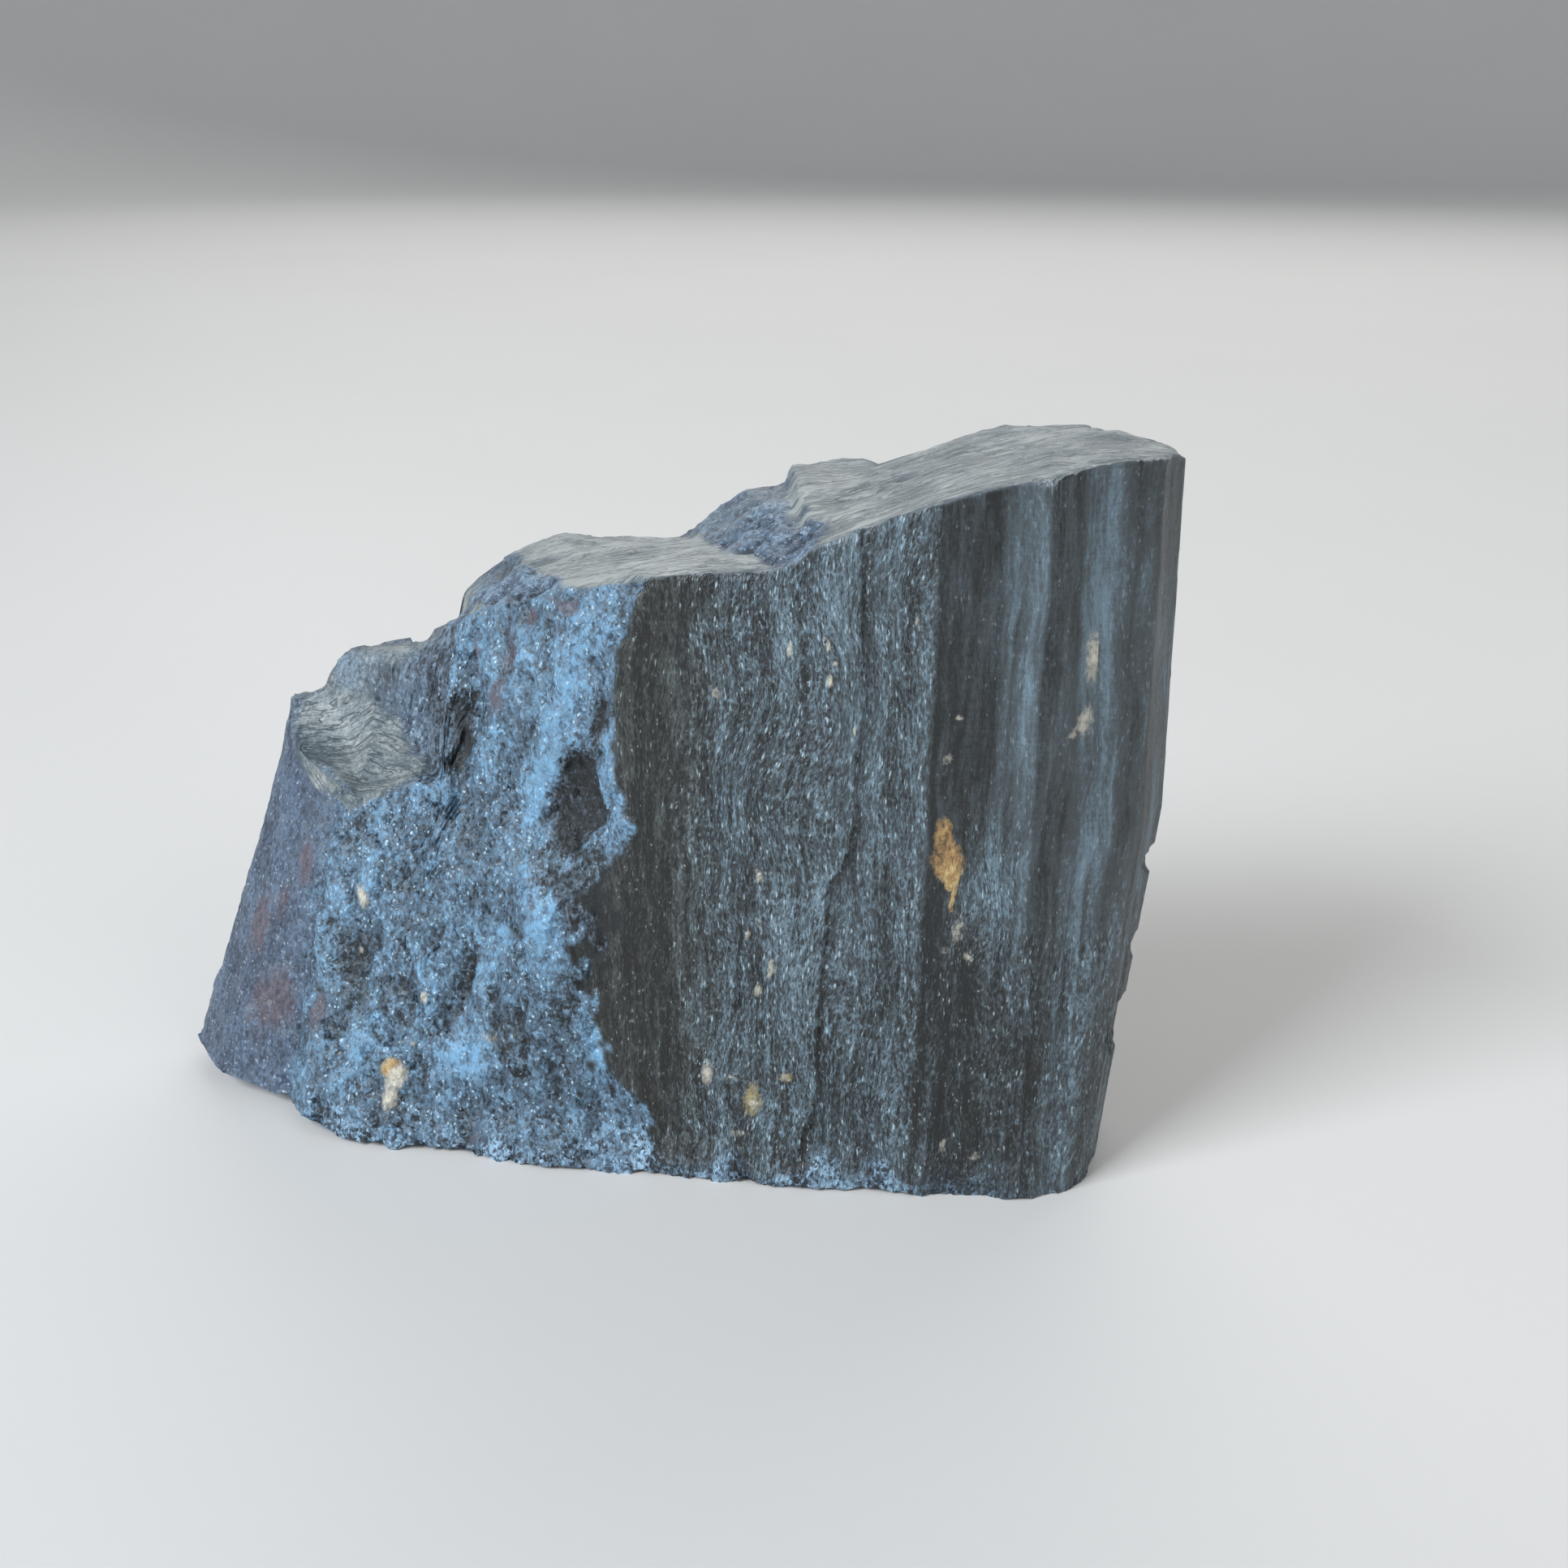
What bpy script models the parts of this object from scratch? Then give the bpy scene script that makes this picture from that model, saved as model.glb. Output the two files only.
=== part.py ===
"""A broken chunk of black tourmaline (schorl), about 55 mm long and 39 mm tall.

One crystal, so one object.  Lengths below are millimetres; the mesh is written
in metres, +Z up, standing on z = 0.  +X runs to the crystal's tall end and -Y is
its broad striated prism face.

The body is a ring of prism and fracture faces that meet in leaning arrises, with
a stepped break across the top and a flat break underneath:

  ARRISES   lines (x, y at z = 0, and how far they lean per mm of height)
  BREAKS    the lips and feet of the steps, from the front rim to the back rim
  FLUTES    ridges and grooves that follow the c axis on the prism faces
  RELIEF    the hollows and swells of the fracture face on the left
"""

import bmesh
import bpy
import numpy as np
from mathutils.geometry import delaunay_2d_cdt

MM = 0.001
SEED = 11
CENTRE = (0.06, -0.08)  # moved to the middle of the box, in mm

# ---- how finely the solid is faceted ------------------------------------------
COLUMN = 1.15  # spacing of the columns round the sides
ROWS = 18  # rows of facets from the foot to the rim
CAP = 1.25  # spacing of the points over the top and the underside

# ---- the c axis leans a little right and back; the striated face follows it ---
LEAN_X = 0.025
LEAN_Y = 0.0653
FACE_X, FACE_Y = 7.7, -9.0  # a point at the foot of the striated face
FACE_TURN = 0.1684  # how much nearer the face comes per mm to the right

# ---- arrises: name, foot (x, y), lean (dx, dy) per mm, face to the next one ---
STRIATED, BACK, BROKEN, STRIP = "striated", "back", "broken", "strip"
ARRISES = (
    ("front right", (20.1, -11.1), (0.025, 0.0653), STRIATED),
    ("right 1", (22.3, -10.6), (0.045, 0.080), STRIATED),
    ("right 2", (24.1, -8.7), (0.100, 0.080), STRIATED),
    ("rightmost", (25.0, -5.8), (0.132, 0.085), STRIATED),
    ("right back", (25.0, -0.6), (0.060, 0.030), BACK),
    ("back right", (20.4, 6.8), (0.012, -0.030), BACK),
    ("back middle", (2.7, 10.6), (0.000, -0.110), BACK),
    ("back left", (-24.6, 10.6), (0.150, -0.030), STRIP),
    ("left edge", (-28.1, 4.1), (0.348, 0.170), STRIP),
    ("strip middle", (-25.3, -0.2), (0.325, 0.235), STRIP),
    ("strip right", (-21.0, -1.9), (0.205, 0.255), BROKEN),
    ("foot corner", (-19.0, -4.9), (0.125, 0.370), BROKEN),
    ("ridge", (1.0, -7.9), (0.0, 0.0653), STRIATED),
)
RIDGE_INDEX = 12
SHOULDER_Z = 20.0  # the right-hand arrises spread no further above this
# x of the ridge between the fracture and the striated face, up its height z
RIDGE = (
    (0.0, 1.0), (2.0, 0.0), (5.0, -1.5), (10.0, -2.4), (14.8, -2.8), (17.5, -1.3),
    (19.0, 0.0), (22.4, -1.1), (28.5, -0.6), (31.0, 0.2), (33.0, 0.9), (40.0, 2.2),
)

# ---- the stepped top: name, (x, z) at the front rim, (x, z) at the back rim ---
BREAKS = (
    ("left end", (-21.0, 19.6), (-21.4, 20.9)),
    ("shelf left", (-19.0, 19.1), (-20.0, 21.1)),
    ("shelf corner", (-16.2, 18.1), (-18.8, 21.5)),
    ("riser 3 foot", (-11.2, 20.0), (-18.2, 22.3)),
    ("riser 3 middle", (-9.95, 24.8), (-17.1, 24.1)),
    ("ledge lip", (-9.45, 27.3), (-12.6, 25.2)),
    ("low ledge", (-9.2, 28.3), (-12.2, 25.9)),
    ("riser 3 top", (-8.7, 28.9), (-10.8, 26.4)),
    ("riser 2 foot", (-7.8, 29.25), (-10.5, 28.0)),
    ("riser 2 middle", (-6.2, 30.0), (-9.6, 29.0)),
    ("riser 2 top", (-2.8, 31.3), (-7.7, 30.3)),
    ("plateau 2 lip", (-1.6, 31.7), (-4.7, 31.5)),
    ("plateau 2", (0.8, 32.6), (-1.2, 31.4)),
    ("riser 1 foot", (7.6, 33.4), (1.9, 31.4)),
    ("riser 1 middle", (8.3, 33.6), (4.1, 33.1)),
    ("small ledge", (8.7, 34.0), (5.4, 34.1)),
    ("small ledge lip", (8.9, 34.2), (7.7, 34.5)),
    ("riser 1 top", (9.2, 34.5), (8.0, 35.6)),
    ("plateau 1 low", (11.0, 35.4), (12.6, 35.9)),
    ("plateau 1", (16.7, 37.3), (17.0, 37.4)),
    ("plateau 1 high", (20.8, 38.5), (20.9, 38.0)),
    ("right end", (27.0, 38.9), (27.0, 38.2)),
)
# how far a lip or foot bows to the right halfway back, in mm
BOWS = {"riser 3 foot": 0.75, "riser 3 middle": 0.35, "riser 2 top": -0.4, "riser 1 foot": -0.35,
        "riser 1 middle": -0.25, "small ledge": 0.15, "small ledge lip": 0.15, "riser 1 top": 0.10}
STEP_SOFTNESS = 0.16  # half width over which lips and feet are rounded
SHOULDER_X, SHOULDER_DROP = (25.8, 27.9), 0.9  # the tall end rounds over

# ---- flutes: distance along the prism, height of the surface there ------------
FLUTES = (
    (-3.0, 0.10), (-0.5, 0.18), (1.4, 0.00), (4.2, 0.06), (9.2, 0.14), (10.9, 0.05),
    (14.5, 0.46), (15.0, 0.30), (18.3, -0.24), (20.2, 0.16), (21.8, -0.26),
    (23.5, 0.12), (24.8, 0.14), (25.8, -0.12), (27.4, 0.10), (30.0, 0.0),
)
# distance along the prism at each arris, from the front right one round the back
ALONG = (20.1, 22.4, 25.0, 28.1, 33.1, 41.8, 59.9, 87.2)
# the back is a bundle of ribs: narrowest and widest, how far they stand in or out,
# and how far some of them drop back where their upper part has snapped off
RIB_WIDTH, RIB_STEP, RIB_ROUND = (1.3, 4.2), 0.5, 0.22
RIB_SNAP, RIB_DROP = (9.0, 30.0), (0.0, 0.9)

# ---- hollows (-) and swells (+) of the fracture face --------------------------
# name, (x, z), half width, half height, slant dx/dz, height
RELIEF = (
    ("scoop by the ridge", (-2.4, 21.4), 1.25, 3.4, 0.22, -0.75),
    ("rib above the scoop", (-4.6, 24.5), 1.3, 5.5, 0.10, 0.42),
    ("crease under riser 3", (-9.35, 23.4), 0.70, 4.4, 0.13, -0.80),
    ("lump under the scoop", (-4.9, 13.4), 2.2, 3.6, 0.10, 0.55),
    ("hollow mid face", (-9.4, 10.2), 1.3, 3.6, 0.25, -0.50),
    ("hollow left", (-15.8, 11.4), 1.4, 3.0, 0.15, -0.42),
    ("swell low left", (-9.8, 4.6), 3.4, 2.4, 0.00, 0.42),
    ("hollow low right", (-3.4, 6.6), 1.3, 3.2, -0.25, -0.50),
)
SWELL = 0.42  # slow swells of the broken faces
FOOT_FLARE, FLARE_HEIGHT = 0.75, 2.8  # the bruised foot edge stands proud
# notches in the right-hand edge: distance along the prism, z, half sizes, depth
CHIPS = (
    (27.6, 17.2, 1.6, 0.7, 0.45),
    (26.8, 8.0, 1.8, 1.7, 0.50),
    (27.8, 12.4, 1.5, 0.8, 0.25),
)
# two flat breaks low on the back: the way each faces, its distance from the origin
BACK_CUTS = (((0.58, 0.74, -0.34), 14.6), ((-0.20, 0.80, -0.57), 9.3))

# ---- the underside: a flat rest, lifting towards the left end and the rim -----
REST_LEFT, LEFT_END, LEFT_LIFT = -13.0, -27.0, 1.2
RIM_NIBBLE = 0.35


def lattice(i, seed):
    """A repeatable number in 0..1 for each whole-numbered point of space."""
    h = i[..., 0] * 374761393 + i[..., 1] * 668265263 + i[..., 2] * 1442695041
    h = (h + seed * 1274126177) & 0xFFFFFFFF
    h = ((h ^ (h >> 13)) * 1274126177) & 0xFFFFFFFF
    h = ((h ^ (h >> 16)) * 2246822519) & 0xFFFFFFFF
    return ((h ^ (h >> 15)) & 0xFFFFFF) / float(0xFFFFFF)


def noise(x, y, z, size, seed):
    """Smooth value noise in -1..1, with swells of the given size in x, y, z."""
    p = np.stack(np.broadcast_arrays(x, y, z), -1) / np.asarray(size, float)
    cell = np.floor(p).astype(np.int64)
    f = p - cell
    w = f * f * (3 - 2 * f)
    total = 0.0
    for corner in np.ndindex(2, 2, 2):
        c = np.array(corner)
        weight = np.prod(np.where(c, w, 1 - w), axis=-1)
        total = total + weight * lattice(cell + c, seed + SEED)
    return 2 * total - 1


def ease(low, high, value):
    t = np.clip((value - low) / (high - low), 0, 1)
    return t * t * (3 - 2 * t)


def table(value, rows):
    return np.interp(value, [r[0] for r in rows], [r[1] for r in rows])


def face_y(x, z):
    """The plane of the striated face."""
    return FACE_Y - FACE_TURN * (x - FACE_X) + LEAN_Y * z


def arris(index, z):
    name, foot, lean, _ = ARRISES[index % len(ARRISES)]
    if name == "ridge":
        x = table(z, RIDGE)
        return x, face_y(x, z)
    up = z
    if name.startswith("right"):
        up = np.where(z < SHOULDER_Z, z, SHOULDER_Z + 0.05 * (z - SHOULDER_Z))
    return foot[0] + lean[0] * up, foot[1] + lean[1] * z


def front_rim(x):
    broken = -5.7 + 0.56 * (0.8 - x)
    striated = face_y(x, 34.0)
    return np.where(x < 0.8, np.maximum(broken, striated), striated)


def back_rim(x):
    return 7.0 - 0.08 * x


def steps(x, y):
    """Height of the stepped top: lines ruled from the front rim to the back."""
    t = (y - front_rim(x)) / (back_rim(x) - front_rim(x))
    t = np.clip(t, -0.05, 1.05)[..., None]
    front = np.array([b[1] for b in BREAKS])
    back = np.array([b[2] for b in BREAKS])
    bow = np.array([BOWS.get(b[0], 0.0) for b in BREAKS])
    at_x = front[:, 0] * (1 - t) + back[:, 0] * t + bow * 4 * t * (1 - t)
    at_z = front[:, 1] * (1 - t) + back[:, 1] * t
    here = (at_x <= x[..., None]).sum(-1) - 1
    here = np.clip(here, 0, len(BREAKS) - 2)[..., None]
    x0, x1 = (np.take_along_axis(at_x, here + k, -1)[..., 0] for k in (0, 1))
    z0, z1 = (np.take_along_axis(at_z, here + k, -1)[..., 0] for k in (0, 1))
    return z0 + (z1 - z0) * np.clip((x - x0) / np.maximum(x1 - x0, 1e-6), 0, 1)


def top(x, y):
    d = STEP_SOFTNESS
    z = (steps(x - d, y) + 2 * steps(x, y) + steps(x + d, y)) / 4
    z = z + 0.16 * noise(x, y, 0, (5.0, 2.6, 1), 3)
    z = z + 0.07 * noise(x, y, 0, (2.2, 1.1, 1), 4)
    return z - SHOULDER_DROP * np.clip((x - SHOULDER_X[0]) / np.ptp(SHOULDER_X), 0, 1) ** 2


def underside(x, y):
    lift = LEFT_LIFT * ease(-REST_LEFT, -LEFT_END, -x)
    rim = 1 - ease(0.5, 2.4, y - face_y(x, 0.0))  # 1 along the front rim
    nibble = RIM_NIBBLE * (0.5 + 0.5 * noise(x, y, 0, (2.3, 2.3, 1), 8))
    return lift + nibble * rim * (1 - 0.9 * ease(13.0, 18.0, x))


def dome(u, v):
    return np.clip(1 - u * u - v * v, 0, 1) ** 0.7


def ribs():
    """The seams between the back's ribs, their stand, and where and how far they drop."""
    rng = np.random.default_rng(SEED)
    seams = [ALONG[3]]
    while seams[-1] < ALONG[-1] + 2:
        seams.append(seams[-1] + rng.uniform(*RIB_WIDTH))
    count = len(seams) + 1
    stands = rng.uniform(-RIB_STEP, RIB_STEP, count)
    return np.array(seams), stands, rng.uniform(*RIB_SNAP, count), rng.uniform(*RIB_DROP, count)


SEAMS, STANDS, SNAPS, DROPS = ribs()


def rib_height(along, z):
    """Flat-topped ribs with a short slope from each one to the next."""
    rib = np.clip(np.searchsorted(SEAMS, along), 1, len(SEAMS) - 1)
    low, high = SEAMS[rib - 1], SEAMS[rib]
    t = np.clip((along - low) / (high - low), 0, 1)
    here, before = (STANDS[k] - DROPS[k] * ease(0.0, 0.9, z - SNAPS[k]) for k in (rib, rib - 1))
    step = before + (here - before) * ease(0.0, 0.28, t)
    return step + RIB_ROUND * (4 * t * (1 - t) - 0.6)


def flute_height(along, z):
    turned = ease(27.0, 31.0, along)
    wander = along + 0.35 * noise(0, 0, z, (1, 1, 11.0), 20)
    return table(along, FLUTES) * (1 - turned) + turned * rib_height(wander, z)


def broken_height(x, y, z):
    d = SWELL * noise(x, y, z, (5.2, 5.2, 6.5), 5)
    d = d + 0.45 * SWELL * noise(x, y, z, (2.5, 2.5, 3.1), 6)
    for _, (cx, cz), half_w, half_h, slant, height in RELIEF:
        u = (x - cx - slant * (z - cz)) / half_w
        v = (z - cz) / half_h
        d = d + height * np.exp(-1.2 * (u * u + v * v))
    return d


def surface(face, s, z):
    """Points of the side, at fraction s along a face and height z."""
    (ax, ay), (bx, by) = arris(face, z), arris(face + 1, z)
    x, y = ax + (bx - ax) * s, ay + (by - ay) * s
    length = np.hypot(bx - ax, by - ay)

    # outward direction, eased round each arris so that both faces agree there
    def outward(index):
        (px, py), (qx, qy) = arris(index, z), arris(index + 1, z)
        size = np.hypot(qx - px, qy - py)
        return (qy - py) / size, -(qx - px) / size

    count = len(ARRISES)
    here, before, after = outward(face), outward(face - 1), outward(face + 1)
    blend = 0.7  # mm over which the neighbours share their relief
    to_a = 0.5 * (1 - ease(0.0, blend, s * length))
    to_b = 0.5 * (1 - ease(0.0, blend, (1 - s) * length))
    nx = here[0] * (1 - to_a - to_b) + before[0] * to_a + after[0] * to_b
    ny = here[1] * (1 - to_a - to_b) + before[1] * to_a + after[1] * to_b
    size = np.hypot(nx, ny)
    nx, ny = nx / size, ny / size

    def share(kind):
        kinds = [ARRISES[(face + k) % count][3] == kind for k in (-1, 0, 1)]
        return kinds[1] * (1 - to_a - to_b) + kinds[0] * to_a + kinds[2] * to_b

    if face == RIDGE_INDEX:
        along = x - LEAN_X * z
    elif face < len(ALONG) - 1:
        along = ALONG[face] + (ALONG[face + 1] - ALONG[face]) * s
    else:
        along = np.full(np.shape(x), ALONG[-1] if face < 10 else -3.0)
    prism = share(STRIATED) + share(BACK)
    d = prism * flute_height(along, z)
    broken = broken_height(x, y, z)
    d = d + share(BROKEN) * broken
    d = d + share(STRIP) * 0.3 * SWELL * noise(x, y, z, (4.5, 4.5, 6.0), 9)

    flare = ease(-18.5, -10.0, x) * (1 - ease(9.0, 15.0, x)) * (y < 0)
    d = d + FOOT_FLARE * flare * (1 - ease(0.2, FLARE_HEIGHT, z))
    for cq, cz, half_q, half_z, depth in CHIPS:
        d = d - depth * dome((along - cq) / half_q, (z - cz) / half_z)
    x, y = x + d * nx, y + d * ny
    for (cx, cy, cz), distance in BACK_CUTS:
        rough = distance + 0.3 * noise(x, y, z, (3.0, 3.0, 3.4), 30)
        over = np.clip(x * cx + y * cy + z * cz - rough, 0, None) / (cx * cx + cy * cy)
        over = over * ease(-0.1, 0.2, nx * cx + ny * cy)
        x, y = x - over * cx, y - over * cy
    return x, y


def columns():
    """(face, s) of every column, in order round the ring."""
    found = []
    for face in range(len(ARRISES)):
        (ax, ay), (bx, by) = (arris(face + k, np.array(12.0)) for k in (0, 1))
        count = max(1, round(float(np.hypot(bx - ax, by - ay)) / COLUMN))
        found += [(face, j / count) for j in range(count)]
    return found


def place(ring, z):
    """x and y of each column at its own height(s) z."""
    x, y = np.empty(z.shape), np.empty(z.shape)
    faces = np.array([face for face, _ in ring])
    parts = np.array([s for _, s in ring])
    for face in range(len(ARRISES)):
        mine = faces == face
        s = parts[mine].reshape((-1,) + (1,) * (z.ndim - 1))
        x[mine], y[mine] = surface(face, s, z[mine])
    return x, y


def meet(ring, height, start):
    """The height at which each column meets the top or the underside."""
    z = np.full(len(ring), start)
    for _ in range(80):
        x, y = place(ring, z)
        z = 0.6 * z + 0.4 * height(x, y)
    return z


def inside(px, py, rx, ry):
    """True for the points (px, py) inside the ring (rx, ry)."""
    hit = np.zeros(len(px), bool)
    for k in range(len(rx)):
        ax, ay, bx, by = rx[k - 1], ry[k - 1], rx[k], ry[k]
        if ay == by:
            continue
        crosses = (ay > py) != (by > py)
        hit ^= crosses & (px < (bx - ax) * (py - ay) / (by - ay) + ax)
    return hit


def cap(rx, ry, spacing, extra):
    """Points and triangles that fill the ring, its own points first."""
    rng = np.random.default_rng(SEED)
    gx, gy = np.meshgrid(
        np.arange(rx.min(), rx.max(), spacing),
        np.arange(ry.min(), ry.max(), spacing * 0.87),
    )
    gx = gx + 0.5 * spacing * (np.arange(gx.shape[0]) % 2)[:, None]
    points = np.column_stack([gx.ravel(), gy.ravel()])
    points += rng.uniform(-0.16, 0.16, points.shape) * spacing
    if len(extra):
        gap = np.hypot(*(points[:, None, :] - extra[None, :, :]).transpose(2, 0, 1)).min(1)
        points = np.vstack([extra, points[gap > 0.6 * spacing]])
    ring = np.column_stack([rx, ry])
    points = points[inside(points[:, 0], points[:, 1], rx, ry)]
    gap = np.hypot(*(points[:, None, :] - ring[None, :, :]).transpose(2, 0, 1)).min(1)
    points = points[gap > 0.62 * spacing]
    flat = [tuple(p) for p in np.vstack([ring, points])]
    verts, _, faces, *_ = delaunay_2d_cdt(flat, [], [list(range(len(ring)))], 1, 1e-7)
    assert len(verts) == len(flat)
    return points, [tuple(f) for f in faces]


def build():
    ring = columns()
    z_top = meet(ring, top, 30.0)
    z_foot = meet(ring, underside, 0.0)
    rows = np.linspace(0, 1, ROWS + 1)
    z = z_foot[:, None] * (1 - rows) + z_top[:, None] * rows
    x, y = place(ring, z)
    count = len(ring)
    verts = np.stack([x, y, z], -1).transpose(1, 0, 2).reshape(-1, 3)  # row by row
    faces = []
    for r in range(ROWS):
        for c in range(count):
            a, b = r * count + c, r * count + (c + 1) % count
            quad = (a, b, b + count, a + count)
            if (r + c) % 2:
                faces += [(quad[0], quad[1], quad[2]), (quad[0], quad[2], quad[3])]
            else:
                faces += [(quad[0], quad[1], quad[3]), (quad[1], quad[2], quad[3])]

    # points along the lips and feet of the steps keep their edges crisp
    t = np.linspace(0.03, 0.97, 12)
    lines = []
    for name, (fx, _fz), (bx, _bz) in BREAKS[1:-1]:
        lx = fx * (1 - t) + bx * t + BOWS.get(name, 0.0) * 4 * t * (1 - t)
        lines.append(np.column_stack([lx, front_rim(lx) * (1 - t) + back_rim(lx) * t]))
    extra = [np.array([0.0, 0.0])]
    for p in np.vstack(lines):
        if min(np.hypot(*(p - q)) for q in extra) > 0.55:
            extra.append(p)
    inner, triangles = cap(x[:, -1], y[:, -1], CAP, np.array(extra[1:]))
    base, offset = len(verts), ROWS * count
    verts = np.vstack([verts, np.column_stack([inner, top(inner[:, 0], inner[:, 1])])])
    faces += [tuple(offset + i if i < count else base + i - count for i in f) for f in triangles]

    inner, triangles = cap(x[:, 0], y[:, 0], CAP, np.empty((0, 2)))
    base = len(verts)
    low = underside(inner[:, 0], inner[:, 1])
    verts = np.vstack([verts, np.column_stack([inner, low])])
    faces += [tuple(i if i < count else base + i - count for i in reversed(f)) for f in triangles]
    return verts - np.array([*CENTRE, 0.0]), faces


def material():
    schorl = bpy.data.materials.new("black tourmaline")
    schorl.use_nodes = True
    shader = schorl.node_tree.nodes["Principled BSDF"]
    shader.inputs["Base Color"].default_value = (0.030, 0.036, 0.045, 1)
    shader.inputs["Roughness"].default_value = 0.42
    shader.inputs["Metallic"].default_value = 0.0
    return schorl


def main():
    for old in list(bpy.data.objects):
        bpy.data.objects.remove(old)
    verts, faces = build()
    mesh = bpy.data.meshes.new("crystal")
    mesh.from_pydata((verts * MM).tolist(), [], faces)
    work = bmesh.new()
    work.from_mesh(mesh)
    bmesh.ops.recalc_face_normals(work, faces=work.faces)
    work.to_mesh(mesh)
    work.free()
    mesh.materials.append(material())
    crystal = bpy.data.objects.new("crystal", mesh)
    bpy.context.scene.collection.objects.link(crystal)
    box = np.array([verts.min(0), verts.max(0)])
    print("triangles", len(faces), "box mm", box.round(3).tolist())


main()
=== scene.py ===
"""Looks for a broken chunk of black tourmaline (schorl): one crystal, seen on a plain
pale floor in soft studio light.

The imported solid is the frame.  The same design of leaning arrises, stepped top and flat
underside is built again here as a much finer mesh, with the striations, grain, ripples
and bruises that the plain solid leaves out.  Lengths in the design are millimetres; the
meshes are written in metres, in the row frame.
"""

import math

import bpy
import numpy as np
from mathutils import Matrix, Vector
from mathutils.geometry import delaunay_2d_cdt


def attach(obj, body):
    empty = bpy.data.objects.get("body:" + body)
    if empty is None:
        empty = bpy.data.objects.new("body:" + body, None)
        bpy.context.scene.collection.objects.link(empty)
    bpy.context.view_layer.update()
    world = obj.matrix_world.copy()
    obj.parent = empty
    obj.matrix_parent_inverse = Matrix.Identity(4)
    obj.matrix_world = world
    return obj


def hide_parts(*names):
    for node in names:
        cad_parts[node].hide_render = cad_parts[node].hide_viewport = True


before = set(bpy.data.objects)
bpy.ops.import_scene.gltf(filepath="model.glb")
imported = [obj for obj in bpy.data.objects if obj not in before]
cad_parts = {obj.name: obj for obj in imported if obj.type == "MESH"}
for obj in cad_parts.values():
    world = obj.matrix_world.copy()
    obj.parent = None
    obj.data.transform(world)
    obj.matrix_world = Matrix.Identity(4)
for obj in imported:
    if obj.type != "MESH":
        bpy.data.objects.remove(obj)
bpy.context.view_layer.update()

# ================================================================== the design
# The constants and functions down to the next double line are the solid's own design.
MM = 0.001
SEED = 11
CENTRE = (0.06, -0.08)  # moved to the middle of the box, in mm

# ---- the c axis leans a little right and back; the striated face follows it ---
LEAN_X = 0.025
LEAN_Y = 0.0653
FACE_X, FACE_Y = 7.7, -9.0  # a point at the foot of the striated face
FACE_TURN = 0.1684  # how much nearer the face comes per mm to the right

# ---- arrises: name, foot (x, y), lean (dx, dy) per mm, face to the next one ---
STRIATED, BACK, BROKEN, STRIP = "striated", "back", "broken", "strip"
ARRISES = (
    ("front right", (20.1, -11.1), (0.025, 0.0653), STRIATED),
    ("right 1", (22.3, -10.6), (0.045, 0.080), STRIATED),
    ("right 2", (24.1, -8.7), (0.100, 0.080), STRIATED),
    ("rightmost", (25.0, -5.8), (0.132, 0.085), STRIATED),
    ("right back", (25.0, -0.6), (0.060, 0.030), BACK),
    ("back right", (20.4, 6.8), (0.012, -0.030), BACK),
    ("back middle", (2.7, 10.6), (0.000, -0.110), BACK),
    ("back left", (-24.6, 10.6), (0.150, -0.030), STRIP),
    ("left edge", (-28.1, 4.1), (0.348, 0.170), STRIP),
    ("strip middle", (-25.3, -0.2), (0.325, 0.235), STRIP),
    ("strip right", (-21.0, -1.9), (0.205, 0.255), BROKEN),
    ("foot corner", (-19.0, -4.9), (0.125, 0.370), BROKEN),
    ("ridge", (1.0, -7.9), (0.0, 0.0653), STRIATED),
)
RIDGE_INDEX = 12
SHOULDER_Z = 20.0  # the right-hand arrises spread no further above this
# x of the ridge between the fracture and the striated face, up its height z
RIDGE = (
    (0.0, 1.0), (2.0, 0.0), (5.0, -1.5), (10.0, -2.4), (14.8, -2.8), (17.5, -1.3),
    (19.0, 0.0), (22.4, -1.1), (28.5, -0.6), (31.0, 0.2), (33.0, 0.9), (40.0, 2.2),
)

# ---- the stepped top: name, (x, z) at the front rim, (x, z) at the back rim ---
BREAKS = (
    ("left end", (-21.0, 19.6), (-21.4, 20.9)),
    ("shelf left", (-19.0, 19.1), (-20.0, 21.1)),
    ("shelf corner", (-16.2, 18.1), (-18.8, 21.5)),
    ("riser 3 foot", (-11.2, 20.0), (-18.2, 22.3)),
    ("riser 3 middle", (-9.95, 24.8), (-17.1, 24.1)),
    ("ledge lip", (-9.45, 27.3), (-12.6, 25.2)),
    ("low ledge", (-9.2, 28.3), (-12.2, 25.9)),
    ("riser 3 top", (-8.7, 28.9), (-10.8, 26.4)),
    ("riser 2 foot", (-7.8, 29.25), (-10.5, 28.0)),
    ("riser 2 middle", (-6.2, 30.0), (-9.6, 29.0)),
    ("riser 2 top", (-2.8, 31.3), (-7.7, 30.3)),
    ("plateau 2 lip", (-1.6, 31.7), (-4.7, 31.5)),
    ("plateau 2", (0.8, 32.6), (-1.2, 31.4)),
    ("riser 1 foot", (7.6, 33.4), (1.9, 31.4)),
    ("riser 1 middle", (8.3, 33.6), (4.1, 33.1)),
    ("small ledge", (8.7, 34.0), (5.4, 34.1)),
    ("small ledge lip", (8.9, 34.2), (7.7, 34.5)),
    ("riser 1 top", (9.2, 34.5), (8.0, 35.6)),
    ("plateau 1 low", (11.0, 35.4), (12.6, 35.9)),
    ("plateau 1", (16.7, 37.3), (17.0, 37.4)),
    ("plateau 1 high", (20.8, 38.5), (20.9, 38.0)),
    ("right end", (27.0, 38.9), (27.0, 38.2)),
)
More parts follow.
